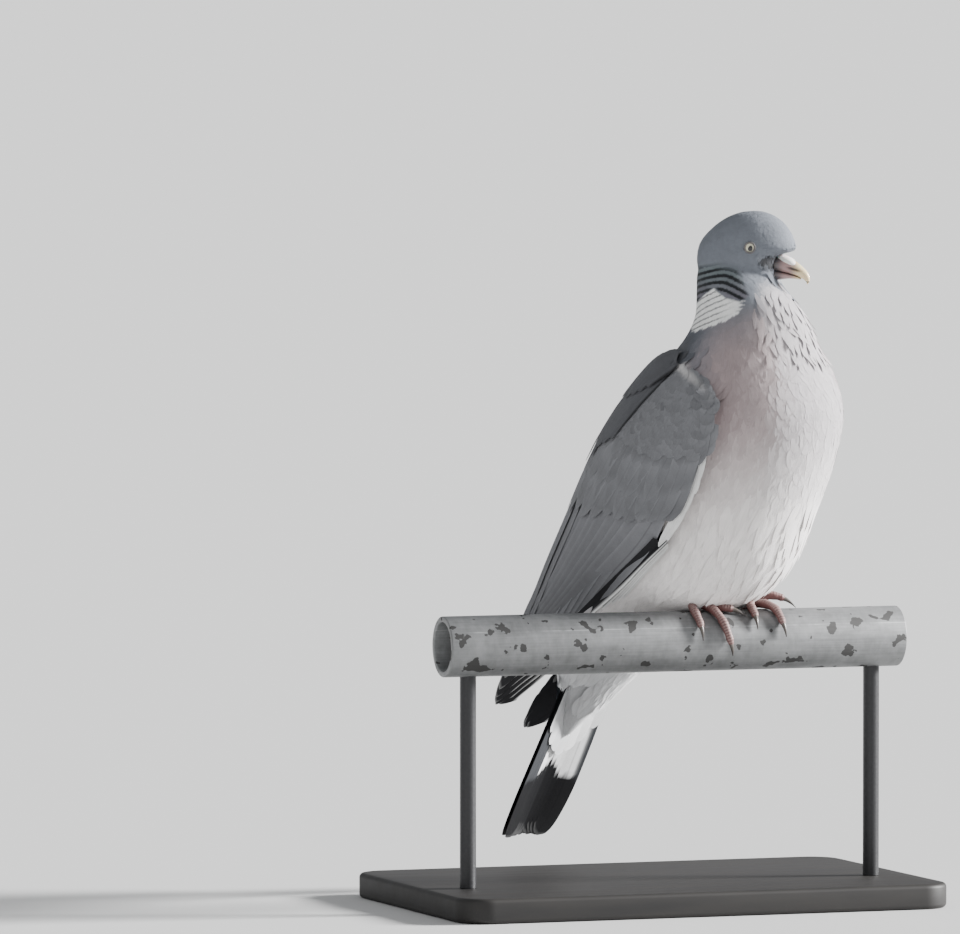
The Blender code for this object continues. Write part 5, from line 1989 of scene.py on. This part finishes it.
class Bill:
    """The two halves of the bill and the soft swelling over the nostrils."""

    base, root, tip = (0.34, 0.215, 0.205), (0.120, 0.105, 0.108), (0.76, 0.62, 0.38)
    tip_from, root_to = (0.0235, 0.0300), (0.0215, 0.0165)
    # The nostril's slit: its middle (x, z), slope, and half length and height
    slit_at, slit_slope, slit_half = (0.0262, -0.0100), -0.30, (0.0032, 0.0007)
    slit_edge, slit_depth, slit_dark = (1.6, 0.4), 0.30, 0.85
    # The line between the halves: how high it runs at which places, and how far it fades
    gape = ((0.0127, 0.0222, 0.0282, 0.0327), (-0.0103, -0.0124, -0.0142, -0.0172))
    gape_reach, gape_dark = (0.0006, 0.0002), 0.75
    powder = (0.80, 0.77, 0.74)
    lobe_half, lobe_at, lobe_dip = (0.0064, 0.0043, 0.0027), (0.0222, 0, -0.0056), math.radians(27)
    groove_width, groove_depth = 0.16, 0.22

    def __init__(self, places: Places) -> None:
        """Keeps the head's frame."""
        self.places = places

    def build(self) -> None:
        """Makes the bill's pieces."""
        horn = PaintedFinish(
            "bill_horn", roughness=0.30, grain=0.10, grain_scale=900.0, depth=0.00005, coat=0.25, soft=0.15
        ).make()
        for half, node in ((UPPER_BILL, "bill_upper"), (LOWER_BILL, "bill_lower")):
            points = half.points()
            x, z = points[:, 0], points[:, 2]
            colour = mix(self.base, self.tip, smoothstep(*self.tip_from, x)[:, None])
            colour = mix(colour, self.root, smoothstep(*self.root_to, x)[:, None])
            if half is UPPER_BILL:
                hollow = self.hollow(points)
                points[:, 1] *= 1 - self.slit_depth * hollow
                # painted shade inside the nostril's slit
                colour = colour * (1 - self.slit_dark * hollow)[:, None]
            mouth = smoothstep(*self.gape_reach, np.abs(z - np.interp(x, *self.gape)))
            colour = colour * (1 - self.gape_dark * mouth)[:, None]
            piece = mesh_piece(half.name, moved(points, self.places.head), loft_faces(half.rings, half.sides))
            paint(piece, colour)
            finish_piece(piece, horn, "horn", node)
        self.cere()

    def hollow(self, points: np.ndarray) -> np.ndarray:
        """How far into the nostril's slit each point lies."""
        x, y, z = points.T
        along = x - self.slit_at[0]
        height = (z - self.slit_at[1] - self.slit_slope * along) / self.slit_half[1]
        return smoothstep(*self.slit_edge, np.hypot(along / self.slit_half[0], height)) * (np.abs(y) > 0.0008)

    def cere(self) -> None:
        """Two soft lobes side by side over the nostrils."""
        lobes = primitive("nostril_swelling", "uv_sphere", segments=48, ring_count=32, radius=1.0)
        bpy.ops.object.shade_smooth()
        points = corner_points(lobes)
        groove = np.exp(-((points[:, 1] / self.groove_width) ** 2)) * np.maximum(points[:, 2], 0)
        points[:, 2] -= self.groove_depth * groove
        points[:, 2] += 0.05 * np.sin(points[:, 0] * 5) * np.abs(points[:, 1])
        points *= np.array(self.lobe_half)
        set_corners(lobes, points)
        dip = Matrix.Rotation(self.lobe_dip, 4, "Y")
        lobes.data.transform(self.places.head @ Matrix.Translation(self.lobe_at) @ dip)
        low = smoothstep(-0.0004, -0.0018, points[:, 2])[:, None]
        paint(lobes, np.array(self.powder) * (1 - 0.55 * low))
        finish = PaintedFinish(
            "cere_skin", roughness=0.55, grain=0.14, grain_scale=1600.0, depth=0.00010, soft=0.2
        )
        finish_piece(lobes, finish.make(), "cere", "cere")


# Feet


@dataclass(frozen=True)
class Toe:
    """A toe's last two joints, each as how far along the rail and degrees round it, and a lift off it."""

    name: str
    knuckle: tuple[float, float]
    end: tuple[float, float]
    lift: float = 0.0


FEET = {
    Side.RIGHT: (
        -0.0235,
        (
            Toe("inner", (-0.0140, 12), (-0.0060, 25)),
            Toe("middle", (-0.0165, 42), (-0.0115, 93)),
            Toe("outer", (-0.0295, 20), (-0.0285, 64)),
            Toe("hind", (-0.0270, -50), (-0.0290, -78)),
        ),
    ),
    Side.LEFT: (
        0.0100,
        (
            Toe("inner", (0.0055, 15), (0.0052, 46)),
            Toe("middle", (0.0175, 18), (0.0205, 61)),
            Toe("outer", (0.0190, -6), (0.0275, 0), 0.0030),
            Toe("hind", (0.0070, -50), (0.0050, -78)),
        ),
    ),
}


class Foot:
    """One foot: toes with a row of scutes along their tops, and hooked claws."""

    palm_angle, palm_radius, palm_flat = -16.0, 0.0048, 0.62
    palm_rings, palm_sides = 18, 28
    root_radius, end_radius = 0.0027, 0.0021
    pad, pads = 0.07, 6
    gap = 0.0003
    rings, sides = 96, 24
    scute, scute_rise = 0.00150, 0.085
    pebble, pebble_rise = 0.0007, 0.035
    skin, ridge = (0.130, 0.056, 0.052), (0.38, 0.27, 0.25)
    claw_length, claw_radius, claw_tip, claw_rings = 0.0078, 0.0014, 0.00022, 28
    claw_dark, claw_pale = (0.030, 0.026, 0.024), (0.10, 0.085, 0.07)

    def __init__(self, side: Side, places: Places) -> None:
        """Keeps which foot it is."""
        self.side, self.places = side, places
        self.palm, self.toes = FEET[side]

    def on_rail(self, along: np.ndarray, degrees: np.ndarray, height: np.ndarray) -> np.ndarray:
        """Points that stand a height off the rail, at an angle round it from its top towards its front."""
        angle = np.radians(degrees)
        reach = self.places.rail_radius + height
        middle = self.places.rail_middle
        x = FEET_X + along
        return np.stack([x, middle.y - reach * np.sin(angle), middle.z + reach * np.cos(angle)], axis=-1)

    def rail_axis(self, points: np.ndarray) -> np.ndarray:
        """The place on the rail's middle line beside each point."""
        middle = self.places.rail_middle
        return points * (1.0, 0.0, 0.0) + (0.0, middle.y, middle.z)

    def off_rail(self, points: np.ndarray, radii: np.ndarray) -> np.ndarray:
        """The points, moved out where a tube of these radii would enter the rail."""
        axis = self.rail_axis(points)
        off = points - axis
        away = np.linalg.norm(off, axis=1)
        least = self.places.rail_radius + radii + self.gap
        return axis + off * (np.maximum(away, least) / away)[:, None]

    def tube(self, path: np.ndarray, radii: np.ndarray) -> tuple[np.ndarray, np.ndarray, np.ndarray]:
        """Rings about a path: their points, how far each looks away from the rail, and the ring's run."""
        ways = unit(np.gradient(path, axis=0))
        out = levelled(unit(path - self.rail_axis(path)), ways)
        side = np.cross(ways, out)
        angles = even_angles(self.sides)
        top = np.cos(angles)[None] * np.ones((len(path), 1))
        run = run_along(path)[:, None] * np.ones((1, self.sides))
        spokes = out[:, None] * np.cos(angles)[None, :, None] + side[:, None] * np.sin(angles)[None, :, None]
        return path[:, None] + spokes * radii[..., None], top, run

    def toe_path(self, toe: Toe) -> np.ndarray:
        """The middle of a toe, from the palm to its end."""
        keys = smooth_rows([(self.palm, self.palm_angle), toe.knuckle, toe.end], self.rings)
        share = np.linspace(0, 1, self.rings)
        stand = self.root_radius + (self.end_radius - self.root_radius) * share + self.gap
        stand = stand + toe.lift * np.sin(math.pi * share) + toe.lift * share
        return self.on_rail(keys[:, 0], keys[:, 1], stand)

    def build(self, skin: bpy.types.Material, horn: bpy.types.Material) -> None:
        """Makes the foot's skin and its claws."""
        points, faces, colours, shift = [], [], [], 0
        for toe in self.toes:
            radii = self.toe_radii()
            path = self.off_rail(self.toe_path(toe), radii)
            grid, colour = self.scaly(path, radii)
            points.append(grid.reshape(-1, 3))
            colours.append(colour.reshape(-1, 3))
            faces += loft_faces(self.rings, self.sides, shift)
            shift += len(points[-1])
            self.claw(toe, path, horn)
        points.append(self.palm_points())
        colours.append(np.tile(self.skin, (len(points[-1]), 1)))
        faces += loft_faces(self.palm_rings, self.palm_sides, shift)
        piece = mesh_piece(f"toes_{self.side.word}", np.vstack(points), faces)
        paint(piece, np.vstack(colours))
        finish_piece(piece, skin, "foot", f"foot_{self.side.word}")

    def toe_radii(self) -> np.ndarray:
        """How thick a toe is along its run: slimmer outwards, swollen at its pads and round at its end."""
        share = np.linspace(0, 1, self.rings)
        radii = self.root_radius + (self.end_radius - self.root_radius) * share
        radii = radii * (1 + self.pad * np.cos(share * self.pads * math.pi))
        return radii * np.sqrt(np.clip(1.02 - smoothstep(0.90, 1.0, share) * 0.55, 0.05, 1))

    def scaly(self, path: np.ndarray, radii: np.ndarray) -> tuple[np.ndarray, np.ndarray]:
        """A toe's rings with scutes along the top and pebbles below, and their colours."""
        _, top, run = self.tube(path, np.repeat(radii[:, None], self.sides, axis=1))
        saw = 1 - (run / self.scute) % 1.0
        crest = smoothstep(0.15, 0.75, top)
        round_it = np.arccos(np.clip(top, -1, 1))
        pebbles = 0.5 + 0.5 * np.sin(run / self.pebble * math.pi) * np.sin(round_it * 9)
        swell = radii[:, None] * (self.scute_rise * saw * crest + self.pebble_rise * pebbles * (1 - crest))
        grid, _, _ = self.tube(path, radii[:, None] + swell - 0.04 * radii[:, None])
        seam = smoothstep(0.16, 0.0, np.minimum(saw, 1 - saw)) * crest
        colour = mix(self.skin, self.ridge, (saw * crest)[..., None] * 0.7)
        return grid, colour * (1 - 0.5 * seam)[..., None]

    def palm_points(self) -> np.ndarray:
        """The palm's flat ball, as rings from pole to pole."""
        polar = np.linspace(0.02, math.pi - 0.02, self.palm_rings)[:, None]
        around = even_angles(self.palm_sides)[None]
        columns = (
            np.sin(polar) * np.cos(around),
            np.sin(polar) * np.sin(around),
            np.cos(polar) * np.ones_like(around),
        )
        low = self.palm_radius * self.palm_flat
        centre = self.on_rail(np.array(self.palm), np.array(self.palm_angle), np.array(low + self.gap))
        radii = np.array([self.palm_radius, self.palm_radius, low])
        return (np.stack(columns, axis=-1) * radii).reshape(-1, 3) + centre

    def claw(self, toe: Toe, path: np.ndarray, horn: bpy.types.Material) -> None:
        """A claw, hooked from the toe's end down to the rail."""
        end, way = path[-1], unit(path[-1] - path[-8])
        down = unit(self.rail_axis(end) - end)
        run = self.claw_length * np.linspace(-0.12, 1, self.claw_rings)[:, None]
        points = end + way * run * 0.92 + down * 0.30 * run * np.abs(run) / self.claw_length
        taper = np.linspace(0, 1, self.claw_rings)
        radii = self.claw_radius + (self.claw_tip - self.claw_radius) * taper**1.15
        kept = self.off_rail(points, radii)
        grid, top, _ = self.tube(kept, np.repeat(radii[:, None], self.sides, axis=1))
        colour = np.array(self.claw_dark) + np.array(self.claw_pale) * (1 - taper)[:, None, None] * 0.6
        # lighter on its side away from the rail and darker towards it: a painted highlight and painted shade
        colour = colour * (1 + 0.3 * top[..., None])
        name = f"claw_{toe.name}_{self.side.word}"
        piece = mesh_piece(name, grid.reshape(-1, 3), loft_faces(self.claw_rings, self.sides))
        paint(piece, colour.reshape(-1, 3))
        finish_piece(piece, horn, "claw", f"claw_{self.side.word}_{toe.name}")


# Perch and stand


class Perch:
    """The cut length of handrail tube."""

    wall, bore_depth = 0.0032, 0.030
    step = 0.0001
    edge = 0.0006

    def __init__(self, places: Places) -> None:
        """Keeps where the rail lies."""
        self.places = places

    def build(self) -> None:
        """Makes the tube, with an open bore at each end."""
        places, middle = self.places, self.places.rail_middle
        sizes = {"radius": places.rail_radius, "depth": places.rail_length}
        tube = primitive("rail_tube", "cylinder", vertices=128, end_fill_type="NGON", **sizes)
        mark(tube, "polygons", lambda face: len(face.vertices) > 4)
        bpy.ops.mesh.inset(thickness=self.wall, depth=0, use_individual=True)
        bpy.ops.mesh.inset(thickness=self.step, depth=-self.bore_depth, use_individual=True)
        bpy.ops.object.mode_set(mode="OBJECT")
        rounded(tube, self.edge, 3, 40)
        tube.data.transform(Matrix.Translation(middle) @ Matrix.Rotation(math.pi / 2, 4, "Y"))
        pale_line_height = middle.z + 0.5 * places.rail_radius
        finish_piece(tube, GalvanisedFinish(pale_line_height=pale_line_height).make(), "rail", "perch_rail")


class Stand:
    """The lacquered base and its two rods."""

    corner, edge = 0.018, 0.0025

    def build(self) -> None:
        """Makes the base and gives the rods their finish."""
        low, high = (Vector(corner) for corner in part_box("stand_base"))
        size = high - low
        base = primitive("base_board", "cube", size=1)
        base.data.transform(Matrix.Translation((low + high) / 2) @ Matrix.Diagonal((*size, 1)))

        def upright(edge: bpy.types.MeshEdge) -> bool:
            """Whether an edge runs from the base's underside to its top."""
            first, second = (base.data.vertices[k].co.z for k in edge.vertices)
            return abs(first - second) > size.z / 2

        mark(base, "edges", upright)
        bpy.ops.mesh.bevel(offset=self.corner, segments=16)
        bpy.ops.object.mode_set(mode="OBJECT")
        rounded(base, self.edge, 4, 30)
        finish_piece(base, BOARD_FINISH.make(), "board", "stand_base")
        rod_finish = ROD_FINISH.make()
        for side in ("left", "right"):
            node = f"stand_rod_{side}"
            low, high = (Vector(corner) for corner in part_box(node))
            sizes = {"radius": (high.x - low.x) / 2, "depth": high.z - low.z}
            rod = primitive(f"support_rod_{side}", "cylinder", vertices=64, **sizes)
            bpy.ops.object.shade_smooth_by_angle(angle=math.radians(40))
            rod.data.transform(Matrix.Translation((low + high) / 2))
            finish_piece(rod, rod_finish, "rod", node)


class Studio:
    """The floor, the lights and the camera."""

    distance, far = 6.0, 400.0
    down, turn = math.radians(3), math.radians(20)
    frame_width, sensor = 0.5347, 36.0
    aim_right, aim_up = -0.1437, 0.0793
    sky, sky_strength = (0.95, 0.97, 1.0), 0.46
    # Each light: its name, how far right, forward and up it stands, its strength and its spread in degrees
    lamps = (("key", (0.95, 0.11, 0.37), 15.5, 14), ("fill", (-0.2, -0.9, 0.45), 0.48, 60))

    def build(self, places: Places) -> None:
        """Sets up the scene round the bird."""
        floor = primitive("studio_floor", "plane", size=self.far)
        floor.data.materials.append(FloorFinish().make())
        world = bpy.data.worlds.new("studio")
        world.use_nodes = True
        inputs = world.node_tree.nodes["Background"].inputs
        inputs["Color"].default_value = (*self.sky, 1)
        inputs["Strength"].default_value = self.sky_strength
        bpy.context.scene.world = world
        forward = self.forward()
        right = Vector((math.cos(self.turn), -math.sin(self.turn), 0))
        up = right.cross(forward)
        for name, (beside, ahead, above), strength, spread in self.lamps:
            self.lamp(name, right * beside + forward * ahead + up * above, strength, math.radians(spread))
        camera = bpy.data.cameras.new("camera")
        camera.sensor_width = self.sensor
        camera.lens = self.sensor * self.distance / self.frame_width
        camera.clip_end = self.far
        holder = linked("camera", camera)
        aim = places.feet + right * self.aim_right + up * self.aim_up
        columns = (right, up, -forward)
        turn = Matrix([[column[k] for column in columns] for k in range(3)]).to_4x4()
        holder.matrix_world = Matrix.Translation(aim - forward * self.distance) @ turn
        bpy.context.scene.camera = holder

    def forward(self) -> Vector:
        """Which way the camera looks."""
        flat = math.cos(self.down)
        return Vector((math.sin(self.turn) * flat, math.cos(self.turn) * flat, -math.sin(self.down)))

    def lamp(self, name: str, towards: Vector, strength: float, spread: float) -> None:
        """A soft sun that shines from the given direction."""
        light = bpy.data.lights.new(name, "SUN")
        light.energy, light.angle = strength, spread
        linked(name, light).rotation_euler = towards.to_track_quat("Z", "Y").to_euler()


def main() -> None:
    """Builds the bird, its perch and the studio."""
    logging.basicConfig(level=logging.INFO, format="%(name)s %(message)s")
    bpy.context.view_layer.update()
    places, lie, palette = Places(), Lie(), Palette()
    Studio().build(places)
    form = BodyForm(places, lie)
    wings = [Wing(side, places, palette) for side in Side]
    tail = Tail(places, palette)
    coat = Coat(form, palette, wings, tail)
    for number, zone in enumerate((*COAT_ZONES, PATCH_ZONE)):
        coat.lay(zone, 100 + number)
    coat.ruffle(THROAT_TUFTS, heights=(0.146, 0.178), least=0.72, stand=0.0021, seed=150)
    coat.ruffle(BELLY_TUFTS, heights=(0.016, 0.066), least=0.55, stand=0.0019, seed=151)
    for number, wing in enumerate(wings):
        wing.build(200 + number)
        SmallCoverts(coat, wing).build(300 + number)
    form.make_skin(palette)
    tail.build(400)
    ball = PaintedFinish(
        "eye_iris", roughness=0.10, grain=0.05, grain_scale=2500.0, depth=0.0, coat=0.3
    ).make()
    lids = PaintedFinish("eye_lids", roughness=0.50, grain=0.20, grain_scale=2200.0, depth=0.00008).make()
    for side in Side:
        Eye(side, places).build(ball, lids)
    Bill(places).build()
    skin = PaintedFinish("toe_skin", roughness=0.48, grain=0.18, grain_scale=1500.0, depth=0.00008).make()
    horn = PaintedFinish(
        "claw_horn", roughness=0.30, grain=0.15, grain_scale=1200.0, depth=0.00004, coat=0.2
    ).make()
    for side in Side:
        Foot(side, places).build(skin, horn)
    Perch(places).build()
    Stand().build()


if __name__ == "__main__":
    main()
